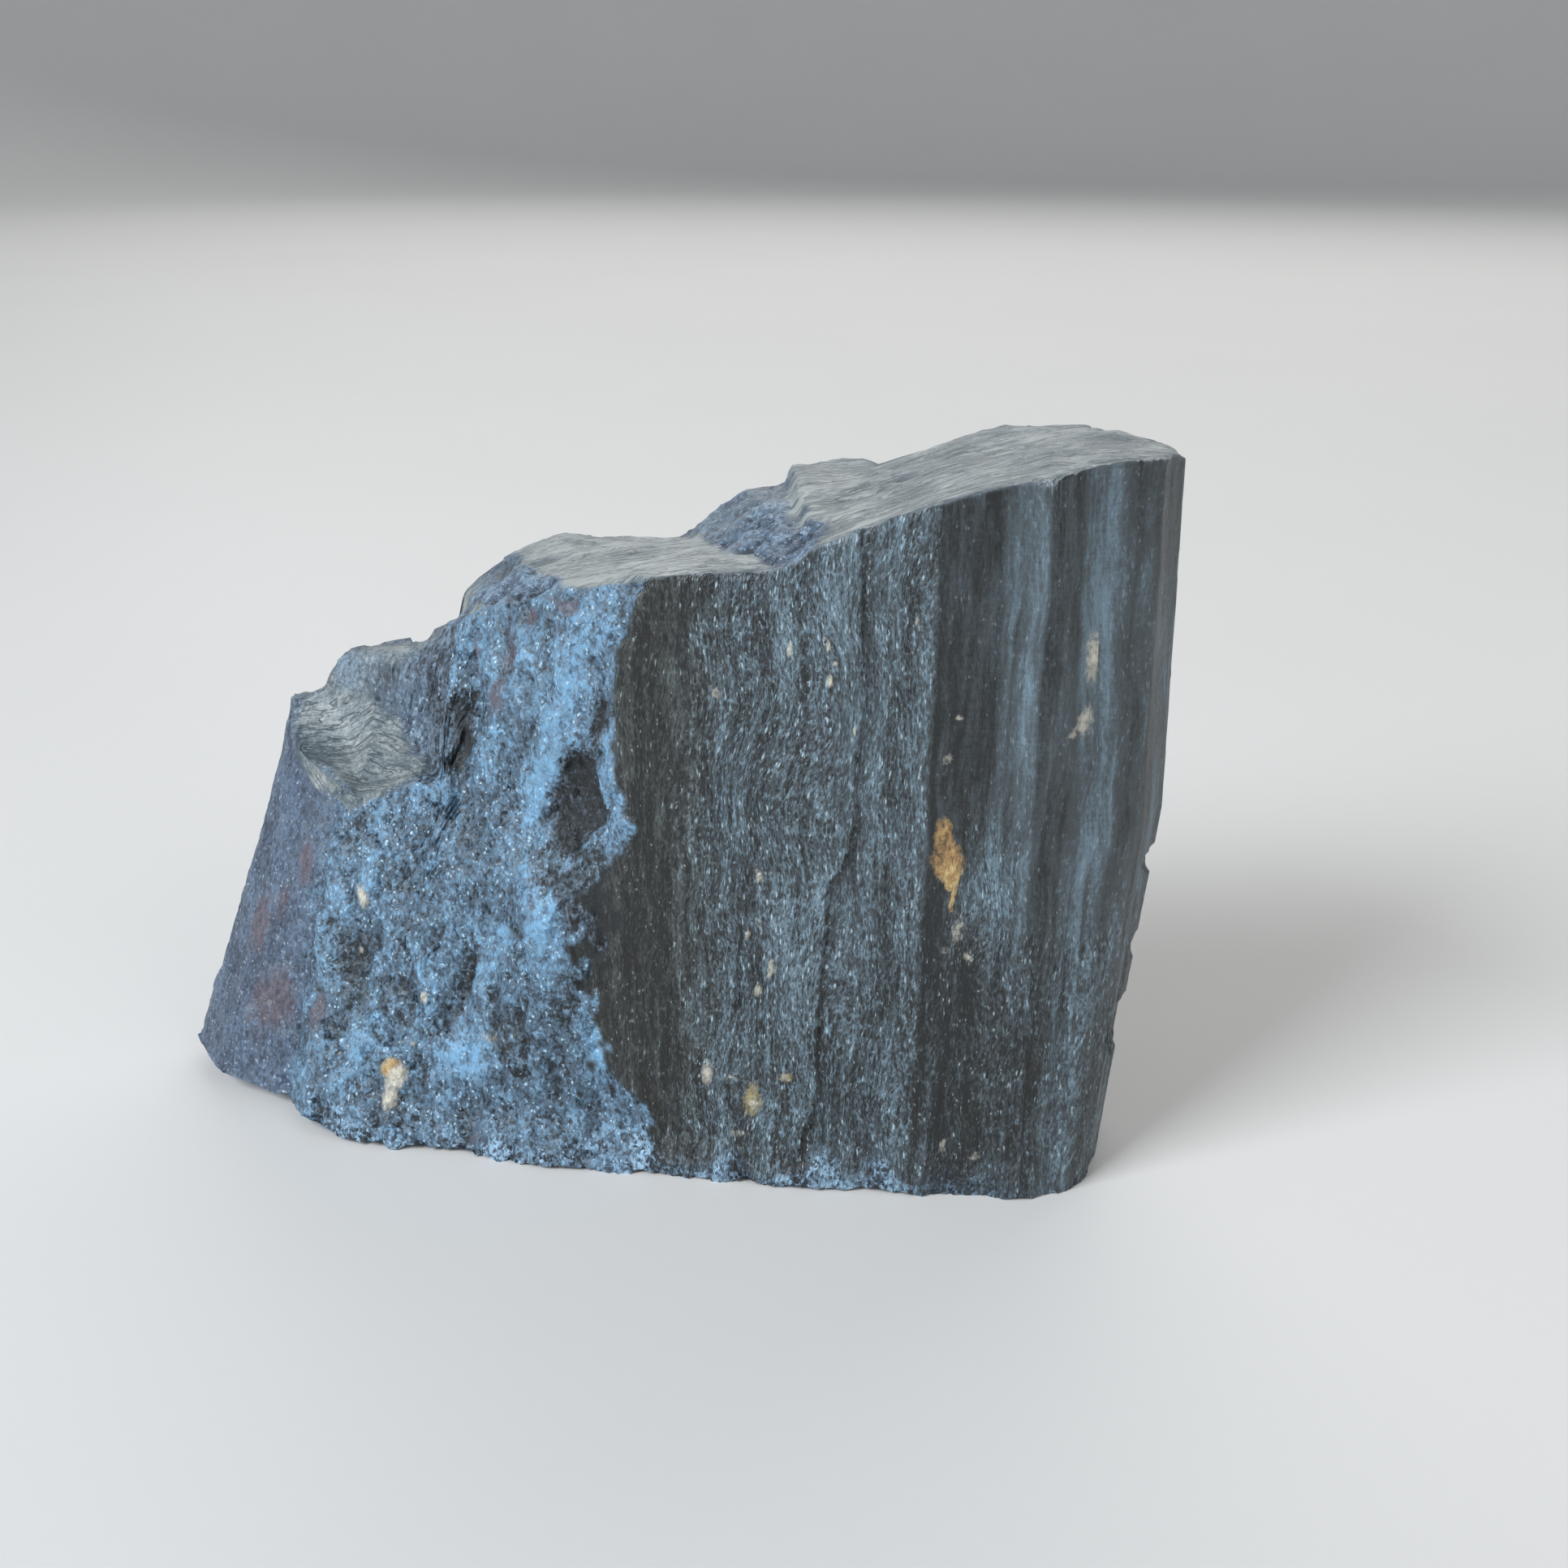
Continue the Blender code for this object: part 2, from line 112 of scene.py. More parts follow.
# how far a lip or foot bows to the right halfway back, in mm
BOWS = {"riser 3 foot": 0.75, "riser 3 middle": 0.35, "riser 2 top": -0.4, "riser 1 foot": -0.35,
        "riser 1 middle": -0.25, "small ledge": 0.15, "small ledge lip": 0.15, "riser 1 top": 0.10}
STEP_SOFTNESS = 0.16  # half width over which lips and feet are rounded
SHOULDER_X, SHOULDER_DROP = (25.8, 27.9), 0.9  # the tall end rounds over

# ---- flutes: distance along the prism, height of the surface there ------------
FLUTES = (
    (-3.0, 0.10), (-0.5, 0.18), (1.4, 0.00), (4.2, 0.06), (9.2, 0.14), (10.9, 0.05),
    (14.5, 0.46), (15.0, 0.30), (18.3, -0.24), (20.2, 0.16), (21.8, -0.26),
    (23.5, 0.12), (24.8, 0.14), (25.8, -0.12), (27.4, 0.10), (30.0, 0.0),
)
# distance along the prism at each arris, from the front right one round the back
ALONG = (20.1, 22.4, 25.0, 28.1, 33.1, 41.8, 59.9, 87.2)
# the back is a bundle of ribs: narrowest and widest, how far they stand in or out,
# and how far some of them drop back where their upper part has snapped off
RIB_WIDTH, RIB_STEP, RIB_ROUND = (1.3, 4.2), 0.5, 0.22
RIB_SNAP, RIB_DROP = (9.0, 30.0), (0.0, 0.9)

# ---- hollows (-) and swells (+) of the fracture face --------------------------
# name, (x, z), half width, half height, slant dx/dz, height
RELIEF = (
    ("scoop by the ridge", (-2.4, 21.4), 1.25, 3.4, 0.22, -0.60),
    ("rib above the scoop", (-4.6, 24.5), 1.3, 5.5, 0.10, 0.42),
    ("crease under riser 3", (-9.35, 23.4), 0.70, 4.4, 0.13, -0.80),
    ("lump under the scoop", (-4.9, 13.4), 2.2, 3.6, 0.10, 0.55),
    ("hollow mid face", (-9.4, 10.2), 1.3, 3.6, 0.25, -0.50),
    ("hollow left", (-15.8, 11.4), 1.4, 3.0, 0.15, -0.42),
    ("swell low left", (-9.8, 4.6), 3.4, 2.4, 0.00, 0.42),
    ("hollow low right", (-3.4, 6.6), 1.3, 3.2, -0.25, -0.50),
)
SWELL = 0.42  # slow swells of the broken faces
FOOT_FLARE, FLARE_HEIGHT = 0.75, 2.8  # the bruised foot edge stands proud
# notches in the right-hand edge: distance along the prism, z, half sizes, depth
CHIPS = (
    (27.6, 17.2, 1.6, 0.7, 0.45),
    (26.8, 8.0, 1.8, 1.7, 0.50),
    (27.8, 12.4, 1.5, 0.8, 0.25),
)
# two flat breaks low on the back: the way each faces, its distance from the origin
BACK_CUTS = (((0.58, 0.74, -0.34), 14.6), ((-0.20, 0.80, -0.57), 9.3))

# ---- the underside: a flat rest, lifting towards the left end and the rim -----
REST_LEFT, LEFT_END, LEFT_LIFT = -13.0, -27.0, 1.2
RIM_NIBBLE = 0.35


def lattice(i, seed):
    """A repeatable number in 0..1 for each whole-numbered point of space."""
    h = i[..., 0] * 374761393 + i[..., 1] * 668265263 + i[..., 2] * 1442695041
    h = (h + seed * 1274126177) & 0xFFFFFFFF
    h = ((h ^ (h >> 13)) * 1274126177) & 0xFFFFFFFF
    h = ((h ^ (h >> 16)) * 2246822519) & 0xFFFFFFFF
    return ((h ^ (h >> 15)) & 0xFFFFFF) / float(0xFFFFFF)


def noise(x, y, z, size, seed):
    """Smooth value noise in -1..1, with swells of the given size in x, y, z."""
    p = np.stack(np.broadcast_arrays(x, y, z), -1) / np.asarray(size, float)
    cell = np.floor(p).astype(np.int64)
    f = p - cell
    w = f * f * (3 - 2 * f)
    total = 0.0
    for corner in np.ndindex(2, 2, 2):
        c = np.array(corner)
        weight = np.prod(np.where(c, w, 1 - w), axis=-1)
        total = total + weight * lattice(cell + c, seed + SEED)
    return 2 * total - 1


def ease(low, high, value):
    t = np.clip((value - low) / (high - low), 0, 1)
    return t * t * (3 - 2 * t)


def table(value, rows):
    return np.interp(value, [r[0] for r in rows], [r[1] for r in rows])


def face_y(x, z):
    """The plane of the striated face."""
    return FACE_Y - FACE_TURN * (x - FACE_X) + LEAN_Y * z


def arris(index, z):
    name, foot, lean, _ = ARRISES[index % len(ARRISES)]
    if name == "ridge":
        x = table(z, RIDGE)
        return x, face_y(x, z)
    up = z
    if name.startswith("right"):
        up = np.where(z < SHOULDER_Z, z, SHOULDER_Z + 0.05 * (z - SHOULDER_Z))
    return foot[0] + lean[0] * up, foot[1] + lean[1] * z


def front_rim(x):
    broken = -5.7 + 0.56 * (0.8 - x)
    striated = face_y(x, 34.0)
    return np.where(x < 0.8, np.maximum(broken, striated), striated)


def back_rim(x):
    return 7.0 - 0.08 * x


def steps(x, y):
    """Height of the stepped top: lines ruled from the front rim to the back."""
    t = (y - front_rim(x)) / (back_rim(x) - front_rim(x))
    t = np.clip(t, -0.05, 1.05)[..., None]
    front = np.array([b[1] for b in BREAKS])
    back = np.array([b[2] for b in BREAKS])
    bow = np.array([BOWS.get(b[0], 0.0) for b in BREAKS])
    at_x = front[:, 0] * (1 - t) + back[:, 0] * t + bow * 4 * t * (1 - t)
    at_z = front[:, 1] * (1 - t) + back[:, 1] * t
    here = (at_x <= x[..., None]).sum(-1) - 1
    here = np.clip(here, 0, len(BREAKS) - 2)[..., None]
    x0, x1 = (np.take_along_axis(at_x, here + k, -1)[..., 0] for k in (0, 1))
    z0, z1 = (np.take_along_axis(at_z, here + k, -1)[..., 0] for k in (0, 1))
    return z0 + (z1 - z0) * np.clip((x - x0) / np.maximum(x1 - x0, 1e-6), 0, 1)


def top(x, y):
    d = STEP_SOFTNESS
    z = (steps(x - d, y) + 2 * steps(x, y) + steps(x + d, y)) / 4
    z = z + 0.16 * noise(x, y, 0, (5.0, 2.6, 1), 3)
    z = z + 0.07 * noise(x, y, 0, (2.2, 1.1, 1), 4)
    return z - SHOULDER_DROP * np.clip((x - SHOULDER_X[0]) / np.ptp(SHOULDER_X), 0, 1) ** 2


def underside(x, y):
    lift = LEFT_LIFT * ease(-REST_LEFT, -LEFT_END, -x)
    rim = 1 - ease(0.5, 2.4, y - face_y(x, 0.0))  # 1 along the front rim
    nibble = RIM_NIBBLE * (0.5 + 0.5 * noise(x, y, 0, (2.3, 2.3, 1), 8))
    return lift + nibble * rim * (1 - 0.9 * ease(13.0, 18.0, x))


def dome(u, v):
    return np.clip(1 - u * u - v * v, 0, 1) ** 0.7


def ribs():
    """The seams between the back's ribs, their stand, and where and how far they drop."""
    rng = np.random.default_rng(SEED)
    seams = [ALONG[3]]
    while seams[-1] < ALONG[-1] + 2:
        seams.append(seams[-1] + rng.uniform(*RIB_WIDTH))
    count = len(seams) + 1
    stands = rng.uniform(-RIB_STEP, RIB_STEP, count)
    return np.array(seams), stands, rng.uniform(*RIB_SNAP, count), rng.uniform(*RIB_DROP, count)


SEAMS, STANDS, SNAPS, DROPS = ribs()


def rib_height(along, z):
    """Flat-topped ribs with a short slope from each one to the next."""
    rib = np.clip(np.searchsorted(SEAMS, along), 1, len(SEAMS) - 1)
    low, high = SEAMS[rib - 1], SEAMS[rib]
    t = np.clip((along - low) / (high - low), 0, 1)
    here, before = (STANDS[k] - DROPS[k] * ease(0.0, 0.9, z - SNAPS[k]) for k in (rib, rib - 1))
    step = before + (here - before) * ease(0.0, 0.28, t)
    return step + RIB_ROUND * (4 * t * (1 - t) - 0.6)


def flute_height(along, z):
    turned = ease(27.0, 31.0, along)
    wander = along + 0.35 * noise(0, 0, z, (1, 1, 11.0), 20)
    return table(along, FLUTES) * (1 - turned) + turned * rib_height(wander, z)


def broken_height(x, y, z):
    d = SWELL * noise(x, y, z, (5.2, 5.2, 6.5), 5)
    d = d + 0.45 * SWELL * noise(x, y, z, (2.5, 2.5, 3.1), 6)
    for _, (cx, cz), half_w, half_h, slant, height in RELIEF:
        u = (x - cx - slant * (z - cz)) / half_w
        v = (z - cz) / half_h
        d = d + height * np.exp(-1.2 * (u * u + v * v))
    return d


def surface(face, s, z):
    """Points of the side, at fraction s along a face and height z."""
    (ax, ay), (bx, by) = arris(face, z), arris(face + 1, z)
    x, y = ax + (bx - ax) * s, ay + (by - ay) * s
    length = np.hypot(bx - ax, by - ay)

    # outward direction, eased round each arris so that both faces agree there
    def outward(index):
        (px, py), (qx, qy) = arris(index, z), arris(index + 1, z)
        size = np.hypot(qx - px, qy - py)
        return (qy - py) / size, -(qx - px) / size

    count = len(ARRISES)
    here, before, after = outward(face), outward(face - 1), outward(face + 1)
    blend = 0.7  # mm over which the neighbours share their relief
    to_a = 0.5 * (1 - ease(0.0, blend, s * length))
    to_b = 0.5 * (1 - ease(0.0, blend, (1 - s) * length))
    nx = here[0] * (1 - to_a - to_b) + before[0] * to_a + after[0] * to_b
    ny = here[1] * (1 - to_a - to_b) + before[1] * to_a + after[1] * to_b
    size = np.hypot(nx, ny)
    nx, ny = nx / size, ny / size

    def share(kind):
        kinds = [ARRISES[(face + k) % count][3] == kind for k in (-1, 0, 1)]
        return kinds[1] * (1 - to_a - to_b) + kinds[0] * to_a + kinds[2] * to_b

    if face == RIDGE_INDEX:
        along = x - LEAN_X * z
    elif face < len(ALONG) - 1:
        along = ALONG[face] + (ALONG[face + 1] - ALONG[face]) * s
    else:
        along = np.full(np.shape(x), ALONG[-1] if face < 10 else -3.0)
    prism = share(STRIATED) + share(BACK)
    d = prism * flute_height(along, z)
    broken = broken_height(x, y, z)
    d = d + share(BROKEN) * broken
    d = d + share(STRIP) * 0.3 * SWELL * noise(x, y, z, (4.5, 4.5, 6.0), 9)

    flare = ease(-18.5, -10.0, x) * (1 - ease(9.0, 15.0, x)) * (y < 0)
    d = d + FOOT_FLARE * flare * (1 - ease(0.2, FLARE_HEIGHT, z))
    for cq, cz, half_q, half_z, depth in CHIPS:
        d = d - depth * dome((along - cq) / half_q, (z - cz) / half_z)
    x, y = x + d * nx, y + d * ny
    for (cx, cy, cz), distance in BACK_CUTS:
        rough = distance + 0.3 * noise(x, y, z, (3.0, 3.0, 3.4), 30)
        over = np.clip(x * cx + y * cy + z * cz - rough, 0, None) / (cx * cx + cy * cy)
        over = over * ease(-0.1, 0.2, nx * cx + ny * cy)
        x, y = x - over * cx, y - over * cy
    return x, y


# ============================================================= the fine crystal
# spacing of the columns round each face in turn, from the front right arris
SPACING = (0.17, 0.18, 0.20, 0.30, 0.44, 0.42, 0.42, 0.36, 0.27, 0.24, 0.20, 0.19, 0.135)
ROWS = 118  # rows of facets from the foot to the rim
LEVEL_ROWS = 7  # how soon below the rim the rows run level
RIM_STEP = 0.40  # the most that the rim climbs from one column to the next, in mm
TOP_SPACING, UNDER_SPACING = 0.30, 0.75  # points over the stepped top and underside


def fine_columns():
    """Face index and fraction along it of every column, in order round the ring, and
    whether it is one of the evenly spaced ones."""
    faces, parts = [], []
    for face in range(len(ARRISES)):
        (ax, ay), (bx, by) = (arris(face + k, np.array(12.0)) for k in (0, 1))
        count = max(1, round(float(np.hypot(bx - ax, by - ay)) / SPACING[face]))
        faces += [face] * count
        parts += [j / count for j in range(count)]
    faces, parts = np.array(faces), np.array(parts)
    even = np.ones(len(faces), bool)
    for _ in range(5):  # more columns where the rim climbs steeply
        z = meet(faces, parts, top, 30.0, 16)
        climbs = np.abs(np.roll(z, -1) - z) > RIM_STEP
        ends = np.where(np.roll(faces, -1) == faces, np.roll(parts, -1), 1.0)
        at = np.nonzero(climbs & (ends - parts > 1e-3))[0]
        faces = np.insert(faces, at + 1, faces[at])
        parts = np.insert(parts, at + 1, (parts[at] + ends[at]) / 2)
        even = np.insert(even, at + 1, False)
    return faces, parts, even


def level(values, facts):
    """The values with those of the crowded columns drawn straight between the evenly
    spaced ones at the same height, so that a small step of the relief is no slit there.
    The rim stays."""
    at, even, z = facts["ring"]
    values = values.copy()
    rows = values[: ROWS * len(at)].reshape(ROWS, len(at))
    kept = np.nonzero(even)[0]
    for k in np.nonzero(~even)[0]:
        place_of = np.searchsorted(kept, k)
        before, after = kept[place_of - 1], kept[place_of % len(kept)]
        run = (at[after] - at[before]) % len(ARRISES)
        t = (at[k] - at[before]) / run
        one, two = (np.interp(z[:ROWS, k], z[:ROWS, c], rows[:, c]) for c in (before, after))
        rows[:, k] = one * (1 - t) + two * t
    return values


def place(faces, parts, z):
    """x and y of each column at its own height(s) z."""
    x, y = np.empty(z.shape), np.empty(z.shape)
    for face in range(len(ARRISES)):
        mine = faces == face
        s = parts[mine].reshape((-1,) + (1,) * (z.ndim - 1))
        x[mine], y[mine] = surface(face, s, z[mine])
    return x, y


def meet(faces, parts, height, start, rounds=50):
    """The height at which each column meets the top or the underside."""
    z = np.full(len(faces), start)
    for _ in range(rounds):
        x, y = place(faces, parts, z)
        z = 0.6 * z + 0.4 * height(x, y)
    return z


def softened(x, y, z):
    """z along the closed ring of points, its steep steps spread over about 2 mm."""
    gaps = np.maximum(np.hypot(np.roll(x, -1) - x, np.roll(y, -1) - y), 1e-4)
    run = np.concatenate([[0], np.cumsum(gaps)[:-1]])
    apart = np.abs(run[:, None] - run[None, :])
    apart = np.minimum(apart, gaps.sum() - apart)
    weight = np.exp(-((apart / 0.9) ** 2)) * (gaps + np.roll(gaps, 1))[None, :]
    return (weight * z[None, :]).sum(1) / weight.sum(1)


def inside(px, py, rx, ry):
    """True for the points (px, py) inside the ring (rx, ry)."""
    hit = np.zeros(len(px), bool)
    for k in range(len(rx)):
        ax, ay, bx, by = rx[k - 1], ry[k - 1], rx[k], ry[k]
        if ay == by:
            continue
        crosses = (ay > py) != (by > py)
        hit ^= crosses & (px < (bx - ax) * (py - ay) / (by - ay) + ax)
    return hit


def even_points(rx, ry, spacing, height):
    """Rows of points over the ring, evenly spaced along the slopes, so that a steep
    riser gets as many as a flat tread of the same length."""
    rng = np.random.default_rng(SEED)
    found = []
    fine = np.arange(rx.min(), rx.max(), 0.02)
    for k, y in enumerate(np.arange(ry.min(), ry.max(), spacing * 0.87)):
        z = height(fine, np.full(len(fine), y))
        run = np.concatenate([[0], np.cumsum(np.hypot(0.02, np.diff(z)))])
        marks = np.arange(spacing * (0.5 if k % 2 else 0.0), run[-1], spacing)
        marks = marks + rng.uniform(-0.14, 0.14, len(marks)) * spacing
        xs = np.interp(marks, run, fine)
        ys = y + rng.uniform(-0.14, 0.14, len(marks)) * spacing
        found.append(np.column_stack([xs, ys]))
    return np.vstack(found)


def cap(rx, ry, spacing, height):
    """Points and triangles that fill the ring, its own points first."""
    points = even_points(rx, ry, spacing, height)
    points = points[inside(points[:, 0], points[:, 1], rx, ry)]
    near = np.empty(len(points))
    for k in range(0, len(points), 2000):
        some = points[k : k + 2000]
        near[k : k + 2000] = np.hypot(
            some[:, :1] - rx[None, :], some[:, 1:] - ry[None, :]
        ).min(1)
    points = points[near > 0.42 * spacing]
    flat = [tuple(p) for p in np.vstack([np.column_stack([rx, ry]), points])]
    verts, _, faces, *_ = delaunay_2d_cdt(flat, [], [list(range(len(rx)))], 1, 1e-7)
    assert len(verts) == len(flat)
    return points, np.array([tuple(f) for f in faces])


def vertex_normals(verts, faces):
    a, b, c = (verts[faces[:, k]] for k in range(3))
    flat = np.cross(b - a, c - a)
    total = np.zeros_like(verts)
    for k in range(3):
        np.add.at(total, faces[:, k], flat)
    return total / np.maximum(np.linalg.norm(total, axis=1, keepdims=True), 1e-12)


def base_mesh():
    """Points, triangles, and what is known about each: which face it is on and so on."""
    face_of, part_of, even = fine_columns()
    count = len(face_of)
    z_top = meet(face_of, part_of, top, 30.0)
    z_foot = meet(face_of, part_of, underside, 0.0)
    up = np.linspace(0, 1, ROWS + 1)
    # the rows run level below the rim, and only the last ones follow its steps
    soft = softened(*place(face_of, part_of, np.full(count, 12.0)), z_top)
    z = z_foot[:, None] * (1 - up) + soft[:, None] * up
    z = z + (z_top - soft)[:, None] * up**LEVEL_ROWS
    assert np.diff(z, axis=1).min() > 0.005
    x, y = place(face_of, part_of, z)
    verts = np.stack([x, y, z], -1).transpose(1, 0, 2).reshape(-1, 3)

    r, c = np.meshgrid(np.arange(ROWS), np.arange(count), indexing="ij")
    a, b = r * count + c, r * count + (c + 1) % count
    quads = np.stack([a, b, b + count, a + count], -1)
    odd = ((r + c) % 2).astype(bool)
    one = np.where(odd[..., None], quads[..., [0, 1, 2]], quads[..., [0, 1, 3]])
    two = np.where(odd[..., None], quads[..., [0, 2, 3]], quads[..., [1, 2, 3]])
    sides = np.concatenate([one.reshape(-1, 3), two.reshape(-1, 3)])

    inner, roof = cap(x[:, -1], y[:, -1], TOP_SPACING, top)
    offset, base = ROWS * count, len(verts)
    roof = np.where(roof < count, roof + offset, roof - count + base)
    over = np.column_stack([inner, top(inner[:, 0], inner[:, 1])])
    flat, sole = cap(x[:, 0], y[:, 0], UNDER_SPACING, lambda p, _q: 0.0 * p)
    sole = np.where(sole < count, sole, sole - count + base + len(over))[:, ::-1]
    under = np.column_stack([flat, underside(flat[:, 0], flat[:, 1])])
    verts = np.vstack([verts, over, under])
    faces = np.concatenate([sides, roof, sole])
    part = np.concatenate([np.full(len(sides), 0), np.full(len(roof), 1), np.full(len(sole), 2)])

    # signed distances, in mm, from the arrises where the kind of surface changes
    n = len(verts)
    side = slice(0, (ROWS + 1) * count)
    face = np.tile(face_of, ROWS + 1)
    frac = np.tile(part_of, ROWS + 1)
    zs = verts[side, 2]
    xs, ys = verts[side, 0], verts[side, 1]
    length = np.empty(len(face))
    turn = np.empty(len(face))
    for k in range(len(ARRISES)):
        mine = face == k
        (ax, ay), (bx, by) = (arris(k + j, zs[mine]) for j in (0, 1))
        length[mine] = np.hypot(bx - ax, by - ay)
        if k < len(ALONG) - 1:
            turn[mine] = ALONG[k] + (ALONG[k + 1] - ALONG[k]) * frac[mine]
    done, left = frac * length, (1 - frac) * length
    prism = np.select(
        [face == 12, face < 6, face == 6, face == 7, face < 11],
        [done, 9.0, left, -done, -9.0],
        -left,
    )
    strip = np.select([face == 9, face == 10, (face == 7) | (face == 8)], [left, -done, 9.0], -9.0)
    # distance along the prism; from the last back arris it runs back to the ridge's
    at12 = [arris(k, np.array(12.0)) for k in range(7, 14)]
    steps12 = [math.dist(tuple(map(float, at12[k])), tuple(map(float, at12[k + 1]))) for k in range(6)]
    done12 = np.concatenate([[0], np.cumsum(steps12)]) / sum(steps12)
    ridge_q = table(zs, RIDGE) - LEAN_X * zs
    ring_t = np.zeros(len(face))
    for k in range(7, 12):
        mine = face == k
        ring_t[mine] = done12[k - 7] + (done12[k - 6] - done12[k - 7]) * frac[mine]
    # the ring of broken faces ends at the ridge, where ring_t would be done12[5]
    ring_t = ring_t / done12[5]
    along = np.select(
        [face == RIDGE_INDEX, face < 7],
        [xs - LEAN_X * zs, turn],
        ALONG[7] + (ridge_q - ALONG[7]) * ring_t,
    )

    facts = {"along": np.full(n, 0.0), "prism": np.full(n, -9.0), "strip": np.full(n, -9.0)}
    facts["along"][side], facts["prism"][side], facts["strip"][side] = along, prism, strip
    facts["side"] = np.zeros(n)
    facts["side"][side] = 1.0
    facts["row"] = np.full(n, -1.0)
    facts["row"][side] = np.repeat(up, count)
    facts["down"] = np.full(n, 0.0)  # how far below the rim, on the sides
    facts["down"][side] = np.tile(z_top, ROWS + 1) - zs
    facts["up"] = np.full(n, 0.0)  # how far above the foot
    facts["up"][side] = zs - np.tile(z_foot, ROWS + 1)
    facts["roof"] = np.zeros(n)
    facts["roof"][base : base + len(over)] = 1.0
    facts["under"] = np.zeros(n)
    facts["under"][base + len(over) :] = 1.0
    rim = np.zeros(n, bool)
    rim[offset:base] = True
    facts["rim"] = rim
    facts["ring"] = face_of + part_of, even, z.T
    facts["face"] = np.full(n, -1)
    facts["face"][side] = face
    facts["done"], facts["left"] = np.full(n, 9.0), np.full(n, 9.0)
    facts["done"][side], facts["left"][side] = done, left
    return verts, faces, part, facts
# ------------------------------------------------------------- the fine relief
# a thin slab's edge on the striated face: height z, distance along the prism
SLAB_EDGE = ((0, 7.9), (4, 8.9), (6.2, 9.2), (16.0, 9.35), (17.2, 9.6), (19.2, 10.5),
             (21.2, 10.85), (27, 10.75), (36, 10.45))
SLAB_STEP = 0.24
SCARP_GAP, SCARP_TILT = (0.45, 1.7), 0.085  # small ledges along the c axis
# how far each arris in turn is rounded away, in mm
WORN = (0.22, 0.12, 0.18, 0.30, 0.34, 0.25, 0.20, 0.35, 0.22, 0.12, 0.15, 0.15, 0.05)


def scarps():
    rng = np.random.default_rng(SEED + 5)
    edges = [-4.0]
    while edges[-1] < ALONG[-1] + 3:
        edges.append(edges[-1] + rng.uniform(*SCARP_GAP))
    edges = np.array(edges)
    return edges, rng.uniform(-1, 1, (2, len(edges)))


SCARP_EDGES, SCARP_HEIGHTS = scarps()


def scarp_height(q):
    """A saw of narrow tilted strips, each with a sharp edge to the next one."""
    k = np.clip(np.searchsorted(SCARP_EDGES, q), 1, len(SCARP_EDGES) - 1)
    low, high = SCARP_EDGES[k - 1], SCARP_EDGES[k]
    t = np.clip((q - low) / (high - low), 0, 1)
    one, two = SCARP_HEIGHTS[0][k], SCARP_HEIGHTS[1][k]
    return SCARP_TILT * (one * (1 - t) + two * t) * ease(0, 0.12, t) * ease(0, 0.08, 1 - t)


def chips(x, y, z, size, tilt, lift, seed):
    """A broken surface of flat chips: each point lies on the tilted plane of the nearest
    of some scattered middles."""
    p = np.stack([x, y, z], -1) / np.asarray(size, float)
    cell = np.floor(p).astype(np.int64)
    best, height = np.full(len(p), 9.0), np.zeros(len(p))
    for corner in np.ndindex(3, 3, 3):
        c = cell + np.array(corner) - 1
        middle = np.stack([lattice(c, seed + k) for k in range(3)], -1)
        off = p - c - middle
        far = (off**2).sum(-1)
        lean = np.stack([2 * lattice(c, seed + 10 + k) - 1 for k in range(3)], -1)
        here = tilt * (off * lean).sum(-1) + lift * (2 * lattice(c, seed + 20) - 1)
        height = np.where(far < best, here, height)
        best = np.minimum(best, far)
    return height


def striation_height(q, z):
    wave = q + 0.32 * noise(q, z, 0, (5.0, 9.0, 1), 40)
    d = 0.034 * noise(wave, z, 0, (0.50, 17.0, 1), 41)
    d = d + 0.030 * noise(wave, z, 0, (0.92, 25.0, 1), 42)
    d = d + 0.030 * noise(wave, z, 0, (0.31, 4.0, 1), 43)
    d = d + chips(wave, z, 0 * z, (0.42, 1.5, 1), 0.034, 0.014, 44)
    d = d + scarp_height(q + 0.4 * noise(0, z, 0, (1, 12.0, 1), 45))
    gap = q - table(z, SLAB_EDGE) - 0.12 * noise(0, z, 0, (1, 1.4, 1), 91) - 0.10 * noise(0, z, 0, (1, 0.45, 1), 89)
    slab = SLAB_STEP * ease(-3.6, -0.1, gap) * (1 - ease(0.0, 0.14, gap))
    return d + slab * ease(0.5, 3.0, z)


def grain_height(x, y, z, seed=50):
    """The sugary grain of a fracture."""
    d = 0.15 * noise(x, y, z, (1.7, 1.7, 2.9), seed)
    d = d + 0.13 * noise(x + 0.12 * z, y, z, (1.0, 1.0, 4.2), seed + 1)  # faint ribs
    d = d + chips(x + 0.15 * z, y, z, (1.9, 1.9, 4.4), 0.20, 0.03, seed + 300)
    d = d + chips(x, y, z, (1.15, 1.15, 1.75), 0.13, 0.025, seed + 100)
    d = d + chips(x, y, z, (0.52, 0.52, 0.78), 0.12, 0.028, seed + 200)
    return d + 0.055 * noise(x, y, z, (0.36, 0.36, 0.46), seed + 2)


# foot and lip of each riser of the stepped top
RISERS = (("riser 3 foot", "riser 3 top"), ("riser 2 foot", "riser 2 top"),
          ("riser 1 foot", "riser 1 top"))


def break_x(name, t):
    """x of a named line of the stepped top, at fraction t back from the front rim."""
    _, (front, _), (back, _) = BREAKS[[b[0] for b in BREAKS].index(name)]
    return front * (1 - t) + back * t + BOWS.get(name, 0.0) * 4 * t * (1 - t)


